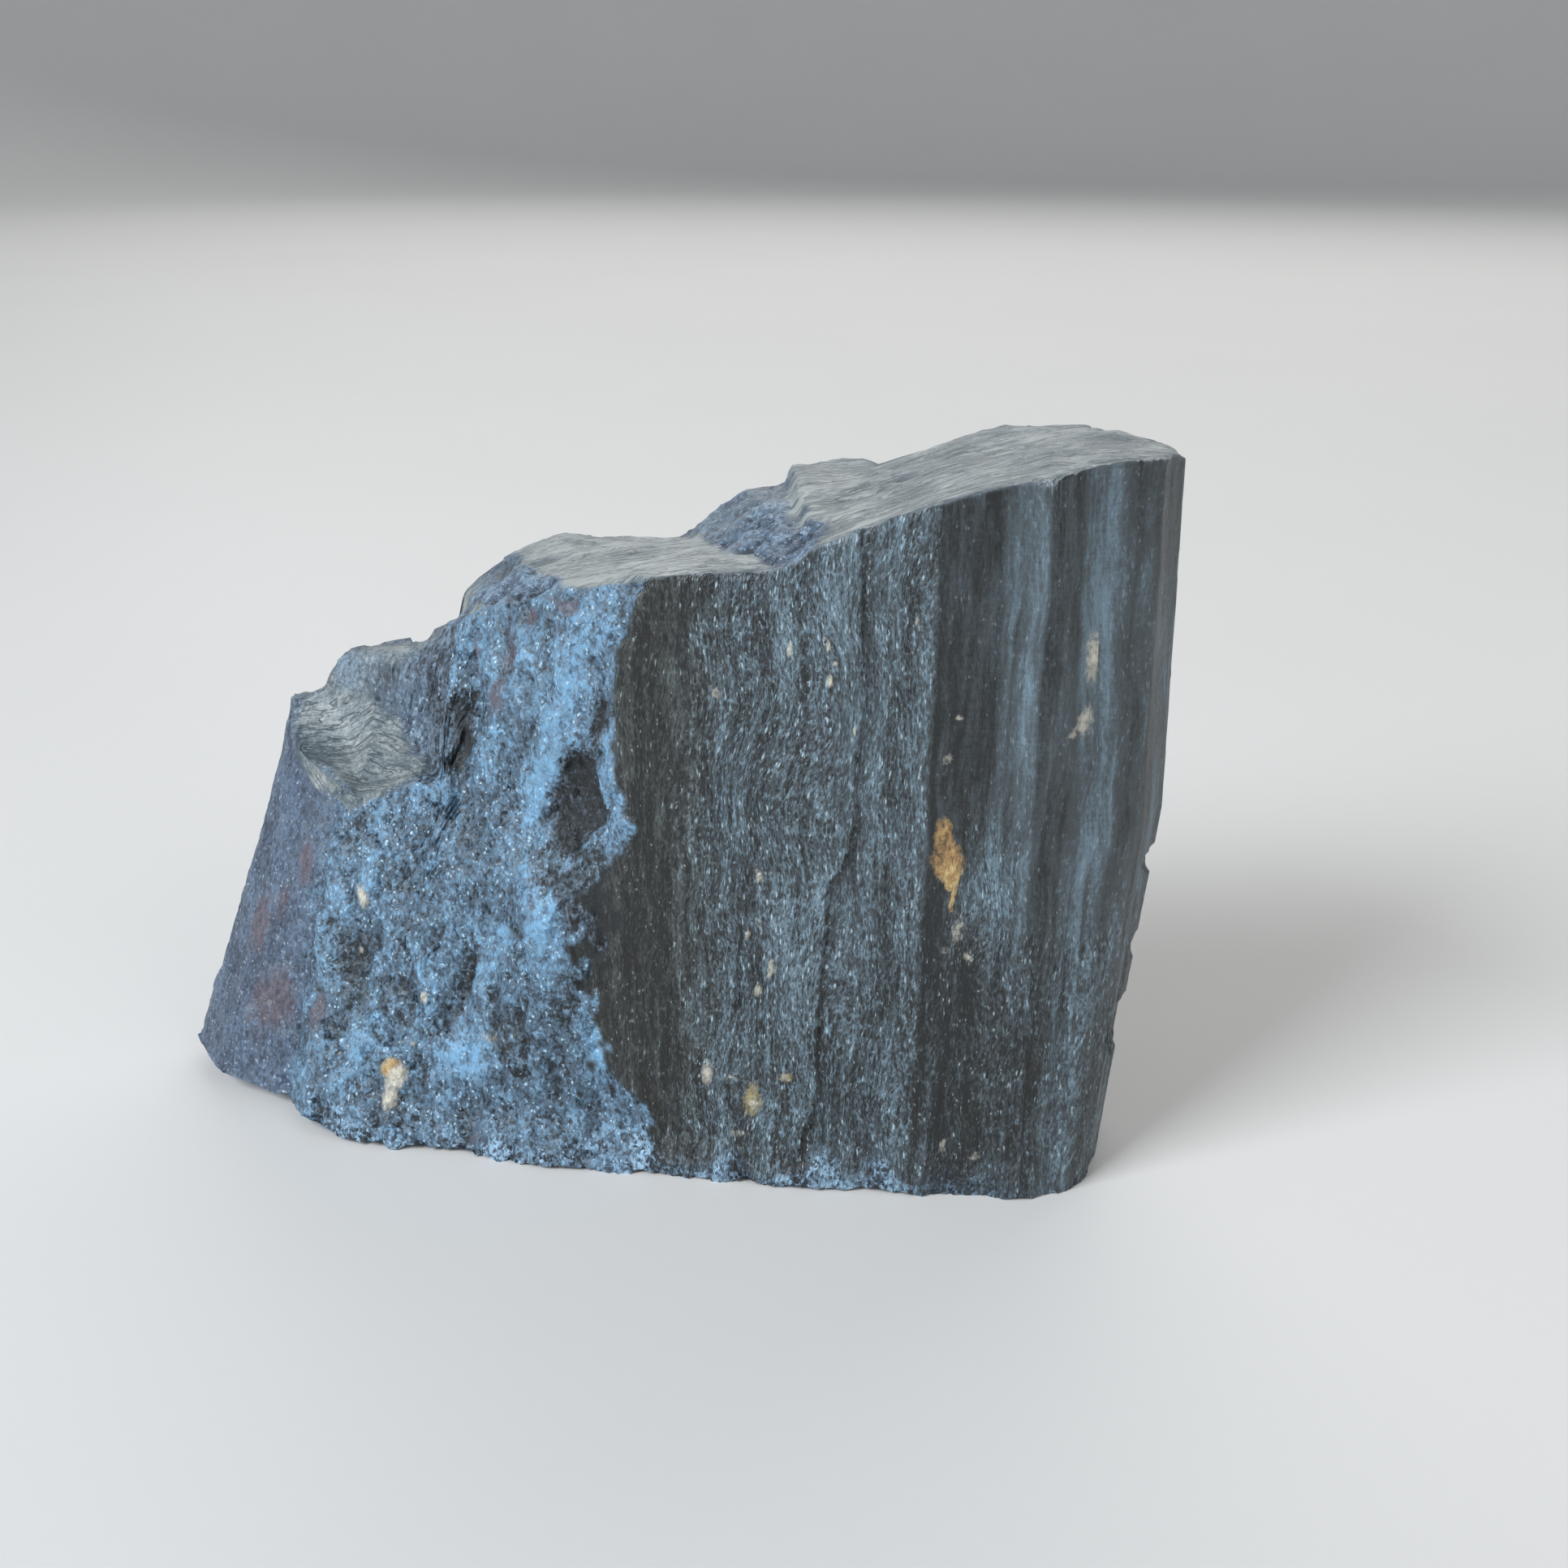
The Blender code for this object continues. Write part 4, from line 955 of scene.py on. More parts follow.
# ==================================================================== materials
class Graph:
    """Short names for the nodes of one material."""

    def __init__(self, name):
        self.material = bpy.data.materials.new(name)
        self.material.use_nodes = True
        self.tree = self.material.node_tree
        self.shader = self.tree.nodes["Principled BSDF"]
        self.position = self.tree.nodes.new("ShaderNodeTexCoord").outputs["Object"]
        self.mm = self.vector("SCALE", self.position, scale=1 / MM)

    def plug(self, socket, value):
        if isinstance(value, bpy.types.NodeSocket):
            self.tree.links.new(value, socket)
        else:
            socket.default_value = value

    def vector(self, kind, a, b=(0, 0, 0), scale=1.0):
        node = self.tree.nodes.new("ShaderNodeVectorMath")
        node.operation = kind
        self.plug(node.inputs[0], a)
        if kind == "SCALE":
            node.inputs["Scale"].default_value = scale
        else:
            self.plug(node.inputs[1], b)
        return node.outputs["Vector"]

    def sized(self, vector, size):
        """The vector counted in steps of the given size in mm along each axis."""
        return self.vector("DIVIDE", vector, size)

    def math(self, kind, a, b=0.0, clamp=False):
        node = self.tree.nodes.new("ShaderNodeMath")
        node.operation, node.use_clamp = kind, clamp
        self.plug(node.inputs[0], a)
        self.plug(node.inputs[1], b)
        return node.outputs[0]

    def add(self, *values):
        total = values[0]
        for value in values[1:]:
            total = self.math("ADD", total, value)
        return total

    def times(self, a, b):
        return self.math("MULTIPLY", a, b)

    def ramp(self, value, low, high, start=0.0, end=1.0):
        """Eases from start to end as the value goes from low to high."""
        node = self.tree.nodes.new("ShaderNodeMapRange")
        node.interpolation_type = "SMOOTHSTEP"
        self.plug(node.inputs["Value"], value)
        for socket, number in zip(node.inputs[1:5], (low, high, start, end)):
            socket.default_value = number
        return node.outputs["Result"]

    def attribute(self, name, vector=False):
        node = self.tree.nodes.new("ShaderNodeAttribute")
        node.attribute_name = name
        return node.outputs["Vector" if vector else "Fac"]

    def noise(self, vector, scale=1.0, detail=2.0, rough=0.5, warp=0.0):
        """Noise about 0, mostly within -0.5..0.5."""
        node = self.tree.nodes.new("ShaderNodeTexNoise")
        self.plug(node.inputs["Vector"], vector)
        node.inputs["Scale"].default_value = scale
        node.inputs["Detail"].default_value = detail
        node.inputs["Roughness"].default_value = rough
        node.inputs["Distortion"].default_value = warp
        return self.math("SUBTRACT", node.outputs["Fac"], 0.5)

    def crinkle(self, vector, width=0.10, detail=1.0):
        """Thin bent lines, 1 along their middle, where a noise crosses its own mean."""
        wave = self.noise(vector, detail=detail, rough=0.6)
        return self.ramp(self.math("ABSOLUTE", wave), 0.0, width, 1.0, 0.0)

    def cells(self, vector, scale=1.0):
        """A random number for each cell of a Voronoi pattern, and the distance to its middle."""
        node = self.tree.nodes.new("ShaderNodeTexVoronoi")
        self.plug(node.inputs["Vector"], vector)
        node.inputs["Scale"].default_value = scale
        split = self.tree.nodes.new("ShaderNodeSeparateColor")
        self.tree.links.new(node.outputs["Color"], split.inputs[0])
        return split.outputs[0], node.outputs["Distance"]

    def chips(self, vector):
        """Flat chips: a random number for each, the distance to its middle, and the
        height of its own tilted plane."""
        node = self.tree.nodes.new("ShaderNodeTexVoronoi")
        self.plug(node.inputs["Vector"], vector)
        node.inputs["Scale"].default_value = 1.0
        split = self.tree.nodes.new("ShaderNodeSeparateColor")
        self.tree.links.new(node.outputs["Color"], split.inputs[0])
        off = self.vector("SUBTRACT", vector, node.outputs["Position"])
        lean = self.vector("SUBTRACT", node.outputs["Color"], (0.5, 0.5, 0.5))
        dot = self.tree.nodes.new("ShaderNodeVectorMath")
        dot.operation = "DOT_PRODUCT"
        self.plug(dot.inputs[0], off)
        self.plug(dot.inputs[1], lean)
        return split.outputs[0], node.outputs["Distance"], dot.outputs["Value"]

    def mix(self, amount, a, b):
        node = self.tree.nodes.new("ShaderNodeMix")
        node.data_type = "RGBA"
        self.plug(node.inputs["Factor"], amount)
        self.plug(node.inputs[6], a if isinstance(a, bpy.types.NodeSocket) else (*a, 1))
        self.plug(node.inputs[7], b if isinstance(b, bpy.types.NodeSocket) else (*b, 1))
        return node.outputs[2]

    def stained(self, amount, a, b):
        """The colour a, multiplied by the colour b where amount is 1."""
        node = self.tree.nodes.new("ShaderNodeMix")
        node.data_type, node.blend_type = "RGBA", "MULTIPLY"
        self.plug(node.inputs["Factor"], amount)
        self.plug(node.inputs[6], a)
        self.plug(node.inputs[7], (*b, 1))
        return node.outputs[2]

    def blend(self, amount, a, b):
        """The number a where amount is 0, b where it is 1."""
        node = self.tree.nodes.new("ShaderNodeMix")
        node.data_type = "FLOAT"
        self.plug(node.inputs[0], amount)
        self.plug(node.inputs[2], a)
        self.plug(node.inputs[3], b)
        return node.outputs[0]

    def split(self, vector):
        node = self.tree.nodes.new("ShaderNodeSeparateXYZ")
        self.plug(node.inputs[0], vector)
        return node.outputs

    def combine(self, x, y, z):
        node = self.tree.nodes.new("ShaderNodeCombineXYZ")
        for socket, value in zip(node.inputs, (x, y, z)):
            self.plug(socket, value)
        return node.outputs[0]

    def bump(self, height, distance, strength=1.0):
        node = self.tree.nodes.new("ShaderNodeBump")
        node.inputs["Strength"].default_value = strength
        node.inputs["Distance"].default_value = distance
        self.plug(node.inputs["Height"], height)
        return node.outputs["Normal"]


def schorl():
    g = Graph("black_tourmaline")
    flow = g.attribute("flow", vector=True)  # along the prism, up the c axis, 0
    painted_light_and_shade, calm, gloom = g.attribute("painted_light_and_shade"), g.attribute("calm"), g.attribute("gloom")
    hollow = g.attribute("hollow")
    prism, strip = g.attribute("prism"), g.attribute("strip")
    bruise, edge, riser = g.attribute("bruise"), g.attribute("edge"), g.attribute("riser")
    roof, under = g.attribute("roof"), g.attribute("under")
    lively = g.blend(calm, 1.0, 0.14)

    # ---- striated prism faces: short strokes woven along the c axis, in soft bands of painted light and shade
    bend = g.times(g.noise(g.sized(flow, (4.0, 7.0, 1.0)), detail=1.0), 1.6)
    strokes_at = g.vector("ADD", flow, g.combine(bend, 0.0, 0.0))
    thread = g.noise(g.sized(strokes_at, (0.26, 2.6, 1.0)), detail=2.0, rough=0.6)
    cord = g.noise(g.sized(strokes_at, (0.80, 9.0, 1.0)), detail=2.0)
    woven = g.noise(g.sized(strokes_at, (0.14, 0.46, 1.0)), detail=2.0, rough=0.6)
    hair = g.noise(g.sized(strokes_at, (0.085, 0.26, 1.0)), detail=1.0, rough=0.6)
    fold = g.crinkle(g.sized(strokes_at, (0.24, 0.95, 1.0)), 0.080, detail=2.0)
    kink = g.crinkle(g.sized(g.vector("ADD", strokes_at, (7.3, 2.1, 0.0)), (0.40, 1.30, 1.0)), 0.055, detail=2.0)
    cloud = g.noise(g.sized(g.mm, (2.2, 2.2, 3.2)), detail=3.0)
    scale, scale_near, scale_plane = g.chips(g.sized(strokes_at, (0.115, 0.42, 1.0)))
    silk = g.noise(g.sized(flow, (0.9, 0.13, 1.0)), detail=2.0)  # faint level scratches
    rib = g.noise(g.sized(flow, (0.30, 16.0, 1.0)), detail=1.0)
    strokes = g.add(
        g.times(woven, 1.20), g.times(hair, 1.20), g.times(thread, 1.10),
        g.times(g.math("SUBTRACT", scale, 0.5), 0.30), g.times(fold, 0.36), g.times(kink, 0.38), -0.16,
    )
    # the tone takes in painted light and shade: the bands and patches, and the relief darkening its recesses
    tone = g.add(
        0.48, g.times(strokes, lively), g.times(thread, 0.25), g.times(cord, 1.20),
        g.times(painted_light_and_shade, 0.27), g.times(cloud, 0.26), g.times(hollow, 1.3),
        g.times(silk, g.times(calm, 0.28)), g.times(rib, g.times(calm, 0.50)),
    )
    striated = g.mix(g.ramp(tone, -0.05, 0.62), (0.006, 0.0065, 0.007), (0.055, 0.070, 0.080))
    striated = g.mix(g.ramp(tone, 0.50, 1.10), striated, (0.142, 0.210, 0.262))
    striated = g.mix(g.ramp(tone, 1.05, 1.65), striated, (0.300, 0.400, 0.460))
    # a painted bluish sheen of sky reflection over the lighter strokes
    blue_sheen = g.noise(g.sized(strokes_at, (0.75, 1.5, 1.0)), detail=3.0, rough=0.6)
    blue_sheen = g.ramp(g.add(blue_sheen, g.times(painted_light_and_shade, 0.05), g.times(woven, 0.25)), 0.10, 0.30, 0.0, 0.55)
    striated = g.mix(g.times(blue_sheen, lively), striated, (0.155, 0.245, 0.315))
    place = g.split(g.mm)
    rust = g.add(g.noise(g.sized(flow, (1.4, 3.2, 1.0)), detail=4.0, rough=0.6), g.ramp(place[2], 17.0, 7.0, 0.0, 0.10))
    rust = g.ramp(rust, 0.02, 0.24, 0.0, 0.55)
    rust = g.times(rust, g.ramp(tone, 0.75, 0.25))
    striated = g.mix(rust, striated, (0.017, 0.014, 0.011))
    olive_here = g.ramp(g.add(g.split(flow)[0], g.times(cloud, 3.0)), 4.5, 0.5)
    striated = g.stained(olive_here, striated, (1.12, 1.0, 0.84))
    fleck, fleck_near = g.cells(g.sized(flow, (0.14, 0.26, 1.0)))
    fleck = g.times(g.times(g.ramp(fleck, 0.945, 0.965), g.ramp(fleck_near, 0.42, 0.18)), g.blend(calm, 1.0, 0.45))
    striated = g.mix(g.times(fleck, 0.75), striated, (0.270, 0.315, 0.330))
    # painted glints on a few chips
    glint = g.times(g.ramp(scale, 0.86, 0.92), g.ramp(scale_near, 0.50, 0.25))
    glint = g.times(glint, g.ramp(g.add(tone, g.times(cloud, 0.4), g.times(fold, 0.3)), 0.34, 0.72))
    striated = g.mix(g.times(glint, g.times(lively, 0.85)), striated, (0.42, 0.55, 0.62))

    # ---- sugary fracture: a mosaic of grains, some turned to the sky; their light blue is painted sky reflection, with painted light and shade from the patches and relief
    warp = g.combine(g.times(g.noise(g.mm, 1.6), 0.5), 0.0, g.times(g.noise(g.mm, 1.9), 0.5))
    warp = g.vector("ADD", g.mm, warp)
    grain, grain_near, grain_plane = g.chips(g.sized(warp, (0.27, 0.27, 0.40)))
    speck, speck_near, speck_plane = g.chips(g.sized(warp, (0.13, 0.13, 0.19)))
    sugar = g.noise(g.sized(g.mm, (0.22, 0.22, 0.32)), detail=3.0, rough=0.72)
    clod, _, _ = g.chips(g.sized(warp, (0.62, 0.62, 1.05)))
    drawn = g.noise(g.sized(warp, (0.55, 0.55, 2.6)), detail=2.0, rough=0.55)
    broad = g.noise(g.sized(g.mm, (2.0, 2.0, 3.4)), detail=2.0)
    shade = g.add(
        0.45, g.times(g.math("SUBTRACT", grain, 0.5), 0.34), g.times(sugar, 1.15),
        g.times(g.math("SUBTRACT", speck, 0.5), 0.46), g.times(drawn, 0.62),
        g.times(g.math("SUBTRACT", clod, 0.5), 0.18),
        g.times(broad, 0.40), g.times(painted_light_and_shade, 0.42), g.times(hollow, 1.1),
    )
    broken = g.mix(g.ramp(shade, 0.00, 0.40), (0.010, 0.015, 0.022), (0.072, 0.118, 0.170))
    broken = g.mix(g.ramp(shade, 0.36, 0.86), broken, (0.165, 0.300, 0.440))
    broken = g.mix(g.ramp(shade, 0.74, 1.25), broken, (0.210, 0.440, 0.680))
    # painted sparkle on a few grains
    spark = g.times(g.ramp(speck, 0.92, 0.96), g.ramp(speck_near, 0.55, 0.28))
    spark = g.times(spark, g.ramp(shade, 0.30, 0.60))
    broken = g.mix(g.times(spark, 0.9), broken, (0.52, 0.70, 0.80))
    # some grains are stained brown or teal
    tint = g.noise(g.sized(warp, (1.1, 1.1, 2.4)), detail=3.0, rough=0.65)
    broken = g.mix(g.ramp(g.add(tint, g.times(sugar, 0.3)), 0.04, 0.34, 0.0, 0.62), broken, (0.092, 0.090, 0.112))
    broken = g.mix(g.ramp(g.add(tint, g.times(sugar, 0.3)), -0.10, -0.34, 0.0, 0.45), broken, (0.060, 0.110, 0.120))

    # ---- the smooth strip on the left and the purple-brown patches
    satin = g.noise(g.sized(g.mm, (0.30, 0.30, 1.1)), detail=3.0, rough=0.7)
    # its tone takes in painted light and shade from the patches and relief, and painted sparkle
    sleek = g.mix(
        g.ramp(g.add(0.45, g.times(satin, 1.1), g.times(broad, 0.6), g.times(painted_light_and_shade, 0.3), g.times(hollow, 1.2),
               g.times(g.math("SUBTRACT", speck, 0.5), 0.45)), 0.05, 0.95),
        (0.026, 0.036, 0.062), (0.130, 0.190, 0.280),
    )
    sleek = g.mix(g.times(spark, 0.75), sleek, (0.38, 0.48, 0.58))
    violet = g.mix(g.ramp(g.add(satin, g.times(sugar, 0.5)), -0.35, 0.35), (0.045, 0.032, 0.042), (0.160, 0.115, 0.135))
    stray = g.noise(g.sized(g.mm, (1.1, 1.1, 3.0)), detail=3.0, rough=0.65)
    purple = g.ramp(g.add(g.attribute("purple"), g.times(stray, 1.7), g.times(sugar, 0.8)), 0.30, 1.00)
    purple = g.math("MAXIMUM", purple, g.ramp(g.add(stray, g.times(sugar, 0.25)), 0.20, 0.32, 0.0, 0.40))

    side = g.mix(strip, broken, sleek)
    side = g.mix(g.times(purple, 0.72), side, violet)
    side = g.mix(prism, side, striated)
    # the crushed foot: its light blue end is painted sky reflection, as on the fracture
    crushed = g.add(shade, g.times(g.math("SUBTRACT", speck, 0.5), 0.5), g.times(sugar, 0.6))
    bruised = g.mix(g.ramp(crushed, 0.05, 0.55), (0.012, 0.017, 0.026), (0.128, 0.208, 0.300))
    bruised = g.mix(g.ramp(crushed, 0.50, 1.05), bruised, (0.350, 0.545, 0.720))
    side = g.mix(g.times(bruise, 0.85), side, bruised)
    # painted shade in the hollows of the fracture
    murk = g.mix(g.ramp(g.add(shade, g.times(strokes, 0.3)), 0.25, 0.90), (0.020, 0.021, 0.022), (0.120, 0.150, 0.185))
    gloom = g.add(gloom, g.times(g.math("SUBTRACT", grain, 0.5), -0.30), g.times(sugar, -0.65), g.times(drawn, -0.55))
    gloom = g.ramp(gloom, 0.22, 0.85)
    gloom = g.times(gloom, g.blend(bruise, 1.0, 0.2))
    side = g.mix(g.times(gloom, 0.90), side, murk)

    # ---- the stepped top: flowing streaks on the treads, whose pale grey is painted reflection, and rough blue-violet risers with painted sky reflection
    sway = g.times(g.noise(g.sized(g.mm, (5.5, 2.6, 9.0)), detail=1.0), 0.55)
    streaks_at = g.combine(place[0], g.add(g.attribute("lay"), sway), place[2])
    swell = g.noise(g.sized(streaks_at, (4.6, 1.15, 6.0)), detail=2.0, rough=0.5)
    # painted light on each little tread of the saw and painted shade at its foot
    ledge = g.math("FRACT", g.times(swell, 13.0))  # a saw: light tread, dark foot
    streak = g.noise(g.sized(streaks_at, (2.6, 0.36, 4.0)), detail=3.0, rough=0.6)
    fibre = g.noise(g.sized(streaks_at, (0.95, 0.13, 1.6)), detail=2.0, rough=0.65)
    patch = g.noise(g.sized(g.mm, (3.2, 2.4, 3.2)), detail=2.0)
    drawn_out = g.ramp(place[0], -7.0, -15.0, 1.0, 0.62)  # grainier towards the lowest shelf
    cream = g.add(
        0.55, g.times(g.math("SUBTRACT", ledge, 0.5), g.times(drawn_out, 0.24)),
        g.times(streak, g.times(drawn_out, 1.00)), g.times(fibre, g.times(drawn_out, 1.05)), g.times(patch, 0.95), g.times(hollow, 0.4), g.times(painted_light_and_shade, 0.75),
        g.times(sugar, g.ramp(place[0], -4.0, -16.0, 0.15, 1.30)),
    )
    tread = g.mix(g.ramp(cream, 0.02, 0.50), (0.036, 0.050, 0.060), (0.115, 0.145, 0.158))
    tread = g.mix(g.ramp(cream, 0.46, 1.02), tread, (0.350, 0.375, 0.370))
    # thin painted shadows along the edges of the ledges
    ledge_shadow = g.crinkle(g.sized(streaks_at, (3.4, 0.9, 4.0)), 0.022, detail=3.0)  # thin edges of ledges
    tread = g.mix(g.times(ledge_shadow, 0.50), tread, (0.050, 0.066, 0.078))
    tread = g.mix(g.times(spark, 0.30), tread, (0.52, 0.58, 0.60))
    stain = g.ramp(g.noise(g.sized(g.mm, (2.0, 0.9, 2.4)), detail=3.0), 0.05, 0.30, 0.0, 0.60)
    tread = g.mix(stain, tread, (0.045, 0.080, 0.118))
    # the risers' light blue is painted sky reflection, with painted sparkle
    stepped = g.add(shade, g.times(broad, 0.45), g.times(stray, 0.45))
    rise = g.mix(g.ramp(stepped, 0.00, 0.45), (0.020, 0.030, 0.050), (0.092, 0.135, 0.195))
    rise = g.mix(g.ramp(stepped, 0.42, 0.95), rise, (0.235, 0.340, 0.450))
    rise = g.mix(g.times(spark, 0.7), rise, (0.45, 0.55, 0.64))
    rise = g.mix(g.times(purple, 0.75), rise, (0.125, 0.095, 0.125))
    top_colour = g.mix(riser, tread, rise)
    # painted shade in the cleft
    top_colour = g.mix(g.times(gloom, 0.78), top_colour, murk)

    # ---- lighter along the rim of the top, and the underside
    worn = g.ramp(g.add(edge, g.times(g.noise(g.mm, 2.3, detail=2.0), 0.9)), 0.55, 1.0, 0.0, 0.45)
    lapped = g.ramp(g.add(g.attribute("wash"), g.times(streak, 0.5), g.times(fibre, 0.5)), 0.15, 0.55)
    body = g.mix(roof, g.mix(lapped, side, tread), top_colour)
    body = g.mix(under, body, broken)
    body = g.mix(worn, body, (0.180, 0.225, 0.260))

    # ---- mineral grains caught in the crystal
    crumb = g.times(g.noise(g.sized(g.mm, (0.22, 0.22, 0.34)), detail=3.0, rough=0.65), 1.5)
    gold = g.attribute("gold")
    gold_at = g.ramp(g.add(gold, g.times(crumb, 0.34)), 0.02, 0.16)
    low = g.math("SUBTRACT", 18.6, g.split(g.mm)[2])  # the foot of the large grain is yellower
    vein = g.add(g.times(crumb, 1.1), g.times(g.noise(g.sized(g.mm, (0.5, 0.5, 0.7)), detail=3.0), 1.5))
    vein = g.add(vein, g.times(g.math("MAXIMUM", g.math("MINIMUM", low, 1.2), -0.8), 0.22))
    honey = g.mix(g.ramp(vein, -0.55, 0.08), (0.105, 0.062, 0.028), (0.400, 0.245, 0.095))
    honey = g.mix(g.ramp(vein, 0.02, 0.52), honey, (0.640, 0.480, 0.230))
    olive = g.times(g.ramp(place[2], 9.5, 7.5), g.ramp(place[0], -2.0, 0.0))
    honey = g.mix(g.times(olive, 0.65), honey, (0.300, 0.280, 0.160))
    body = g.mix(g.times(gold_at, g.ramp(gold, 0.0, 0.45, 0.35, 1.0)), body, honey)
    pale = g.attribute("pale")
    pale_at = g.times(g.ramp(g.add(pale, g.times(crumb, 0.50)), 0.02, 0.34), g.ramp(pale, -0.1, 0.75, 0.35, 1.0))
    bone = g.mix(g.ramp(g.add(crumb, g.times(pale, 0.25)), -0.32, 0.42), (0.240, 0.232, 0.205), (0.700, 0.665, 0.560))
    body = g.mix(g.times(pale_at, 0.95), body, bone)
    # scattered tiny pale specks
    dust, dust_near = g.cells(g.sized(g.mm, (0.42, 0.42, 0.52)))
    dust = g.times(g.ramp(dust, 0.950, 0.970), g.ramp(dust_near, 0.19, 0.06))
    body = g.mix(g.times(dust, g.blend(calm, 0.75, 0.20)), body, (0.42, 0.44, 0.43))
    g.plug(g.shader.inputs["Base Color"], body)

    # ---- gloss: glassy on fresh grains, duller where it is bruised or stained
    rough = g.blend(prism, 0.46, 0.40)
    rough = g.blend(roof, rough, g.blend(riser, 0.46, 0.50))
    rough = g.add(rough, g.times(cloud, 0.22), g.times(sugar, 0.20), g.times(bruise, 0.10), g.times(gloom, 0.12))
    rough = g.blend(g.math("MAXIMUM", gold_at, pale_at), rough, 0.66)
    rough = g.blend(g.math("MAXIMUM", glint, g.times(spark, 0.8)), rough, 0.24)
    g.plug(g.shader.inputs["Roughness"], g.math("MINIMUM", rough, 0.9, clamp=True))
    g.plug(g.shader.inputs["Specular IOR Level"], g.blend(g.math("MAXIMUM", gloom, rust), 0.5, 0.32))
    g.shader.inputs["IOR"].default_value = 1.63
    g.shader.inputs["Specular Tint"].default_value = (0.90, 0.97, 1.0, 1)

    # ---- fine bump below what the mesh holds, in units of 0.1 mm
    lines = g.add(
        g.times(thread, 0.30), g.times(woven, 0.65), g.times(hair, 0.35), g.times(scale_plane, 0.55),
        g.times(fold, 0.22), g.times(kink, 0.26),
    )
    lines = g.times(lines, lively)
    sugar_bump = g.add(g.times(sugar, 0.8), g.times(grain_plane, 0.9), g.times(speck_plane, 0.6))
    ripple = g.add(g.times(streak, 0.55), g.times(fibre, 0.8), g.times(ledge, -0.18), g.times(ledge_shadow, -0.5))
    height = g.blend(prism, sugar_bump, lines)
    height = g.blend(roof, height, g.blend(riser, ripple, sugar_bump))
    height = g.blend(strip, height, g.times(height, 0.60))
    height = g.add(height, g.times(pale_at, 0.4), g.times(gold_at, 0.4), g.times(crumb, g.times(gold_at, 0.9)))
    g.plug(g.shader.inputs["Normal"], g.bump(height, 0.0001, 1.0))
    return g.material


def build_crystal():
    verts, faces, part, facts = base_mesh()
    facts["edge"] = edge_distance(verts, facts)
    normals = vertex_normals(verts, faces)
    d = level(relief(verts, facts), facts)
    facts["relief"] = level(facts["relief"], facts)
    x, _, z = verts.T
    side = (facts["side"] > 0) & (facts["face"] >= 8)
    lift = 0.13 * np.clip(spots(x, z, GOLD, side) + 0.15, 0, 0.6)
    lift = lift + 0.16 * np.clip(spots(x, z, PALE, side), 0, 0.5)
    moved = verts + normals * (d + lift)[:, None]
    moved[:, 2] = np.maximum(moved[:, 2], 0.0)
    fields = paint(verts, facts)

    mesh = bpy.data.meshes.new("tourmaline")
    final = (moved - np.array([*CENTRE, 0.0])) * MM
    mesh.from_pydata(final.tolist(), [], faces.tolist())
    for name, values in fields.items():
        layer = mesh.attributes.new(name, "FLOAT", "POINT")
        layer.data.foreach_set("value", np.asarray(values, np.float32))
    q = facts["along"]
    flow = np.stack([q - slant(q, z), z, 0 * d], -1).astype(np.float32)
    mesh.attributes.new("flow", "FLOAT_VECTOR", "POINT").data.foreach_set("vector", flow.ravel())
    for name, kind in (("roof", 1), ("under", 2)):
        layer = mesh.attributes.new(name, "FLOAT", "FACE")
        layer.data.foreach_set("value", (part == kind).astype(np.float32))
    mesh.materials.append(schorl())
    mesh.polygons.foreach_set("use_smooth", np.ones(len(mesh.polygons), bool))
    mesh.set_sharp_from_angle(angle=math.radians(48))
    crystal = bpy.data.objects.new("tourmaline", mesh)
    bpy.context.scene.collection.objects.link(crystal)
    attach(crystal, "root")
    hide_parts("crystal")
    print("triangles", len(faces), "box mm", (final / MM).min(0).round(3), (final / MM).max(0).round(3))
    return crystal


def edge_distance(verts, facts):
    """About how far each point is from the rim of the top, in mm."""
    rim = verts[facts["rim"]]
    near = facts["down"].copy()
    roof = np.nonzero(facts["roof"] > 0)[0]
    for k in range(0, len(roof), 2000):
        some = verts[roof[k : k + 2000]]
        gap = some[:, None, :] - rim[None, :, :]
        near[roof[k : k + 2000]] = np.sqrt((gap**2).sum(-1)).min(1)
    near[facts["under"] > 0] = 99.0
    return near
# ======================================================== floor, light, camera
def paint_floor():
    g = Graph("pale_floor")
    soft = g.noise(g.mm, 0.02, detail=3.0)
    fine = g.noise(g.mm, 0.9, detail=2.0)
    tone = g.add(0.5, g.times(soft, 0.5), g.times(fine, 0.12))
    g.plug(g.shader.inputs["Base Color"], g.mix(tone, (0.66, 0.655, 0.645), (0.72, 0.715, 0.705)))
    g.shader.inputs["Roughness"].default_value = 0.5
    g.shader.inputs["IOR"].default_value = 1.35
    return g.material


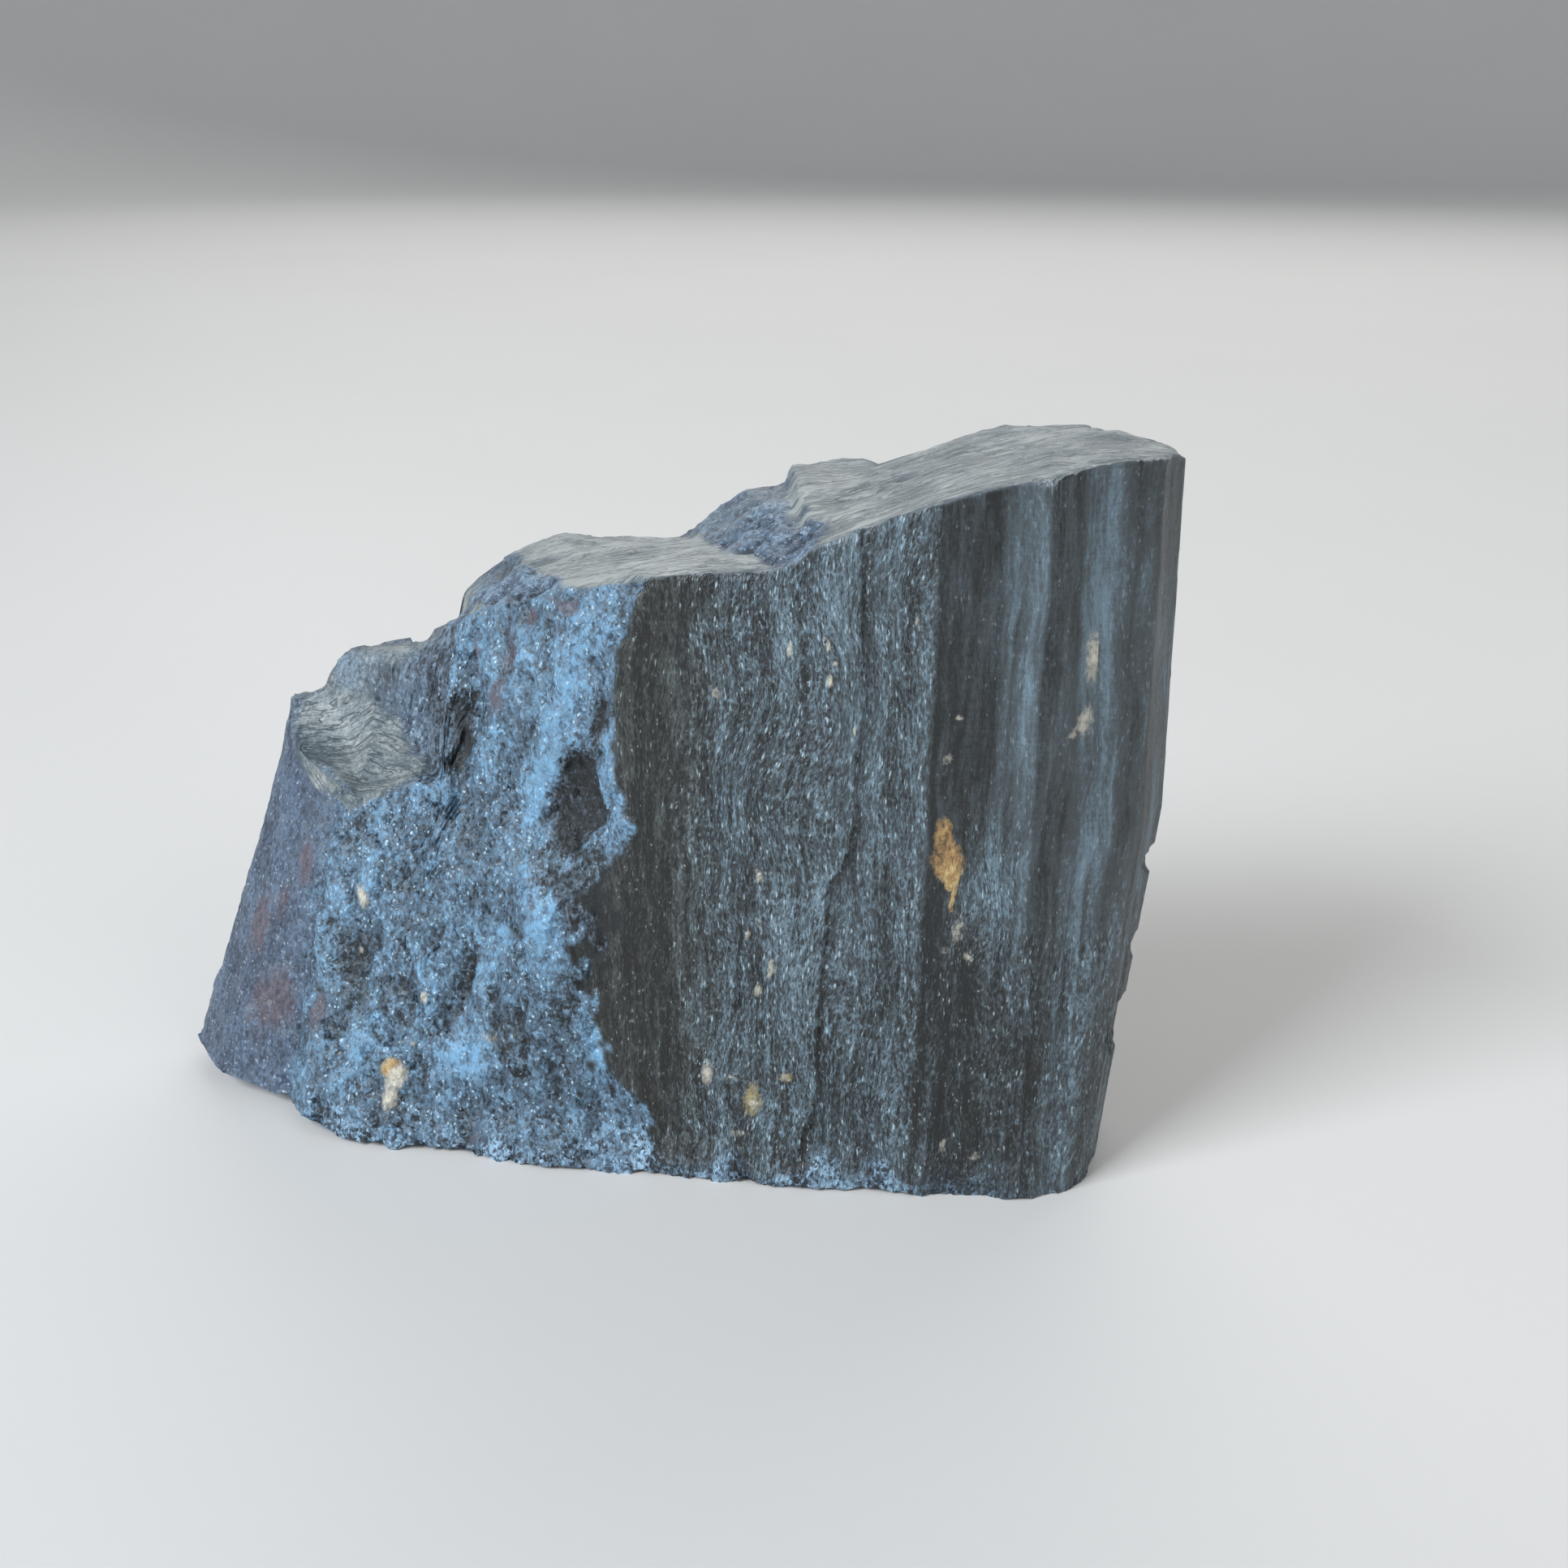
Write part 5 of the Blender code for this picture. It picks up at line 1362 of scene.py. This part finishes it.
def build_stage():
    """A round pale floor whose rim sweeps up into a low wall, the same on all sides."""
    profile = [(0.0, 0.0), (0.30, 0.0), (0.62, 0.0)]
    profile += [
        (0.62 + 0.30 * math.sin(a), 0.30 - 0.30 * math.cos(a))
        for a in (math.radians(k * 6) for k in range(1, 16))
    ]
    profile += [(0.92, 0.55)]
    steps_round = 96
    verts, faces = [(0.0, 0.0, 0.0)], []
    for radius, height in profile[1:]:
        for k in range(steps_round):
            a = 2 * math.pi * k / steps_round
            verts.append((radius * math.cos(a), radius * math.sin(a), height))
    for k in range(steps_round):
        faces.append((0, 1 + k, 1 + (k + 1) % steps_round))
    for row in range(len(profile) - 2):
        low, high = 1 + row * steps_round, 1 + (row + 1) * steps_round
        for k in range(steps_round):
            j = (k + 1) % steps_round
            faces.append((low + k, high + k, high + j, low + j))
    mesh = bpy.data.meshes.new("floor")
    mesh.from_pydata(verts, [], faces)
    mesh.polygons.foreach_set("use_smooth", np.ones(len(mesh.polygons), bool))
    mesh.materials.append(paint_floor())
    floor = bpy.data.objects.new("floor", mesh)
    bpy.context.scene.collection.objects.link(floor)


def add_light(name, place_m, aim_m, size, energy, colour):
    light = bpy.data.lights.new(name, "AREA")
    light.shape, light.size, light.size_y = "RECTANGLE", size[0], size[1]
    light.energy, light.color = energy, colour
    lamp = bpy.data.objects.new(name, light)
    bpy.context.scene.collection.objects.link(lamp)
    lamp.location = place_m
    lamp.rotation_euler = (Vector(aim_m) - Vector(place_m)).to_track_quat("-Z", "Y").to_euler()
    return lamp


def build_light():
    world = bpy.data.worlds.new("studio")
    bpy.context.scene.world = world
    world.use_nodes = True
    sky = world.node_tree.nodes["Background"]
    sky.inputs["Color"].default_value = (0.93, 0.96, 1.0, 1)
    sky.inputs["Strength"].default_value = 0.26
    middle = (0.0, 0.0, 0.018)
    add_light("key", (-0.34, -0.26, 0.36), middle, (0.26, 0.26), 3.2, (0.90, 0.95, 1.0))
    add_light("fill", (0.36, -0.30, 0.26), middle, (0.40, 0.30), 0.6, (1.0, 0.98, 0.95))
    add_light("back", (0.10, 0.46, 0.30), middle, (0.70, 0.30), 1.3, (1.0, 0.99, 0.97))


def build_camera():
    data = bpy.data.cameras.new("camera")
    camera = bpy.data.objects.new("camera", data)
    bpy.context.scene.collection.objects.link(camera)
    place_mm = (7.7 - CENTRE[0], -95.7 - CENTRE[1], 58.0)
    camera.location = [c * MM for c in place_mm]
    camera.rotation_euler = (math.radians(68), 0, 0)
    data.sensor_width = 36.0
    data.lens = 36.0 * 2332 / 1932
    data.clip_start = 0.001
    bpy.context.scene.camera = camera


build_stage()
build_light()
build_camera()
build_crystal()
bpy.context.scene.view_settings.view_transform = "Standard"

bpy.context.view_layer.update()
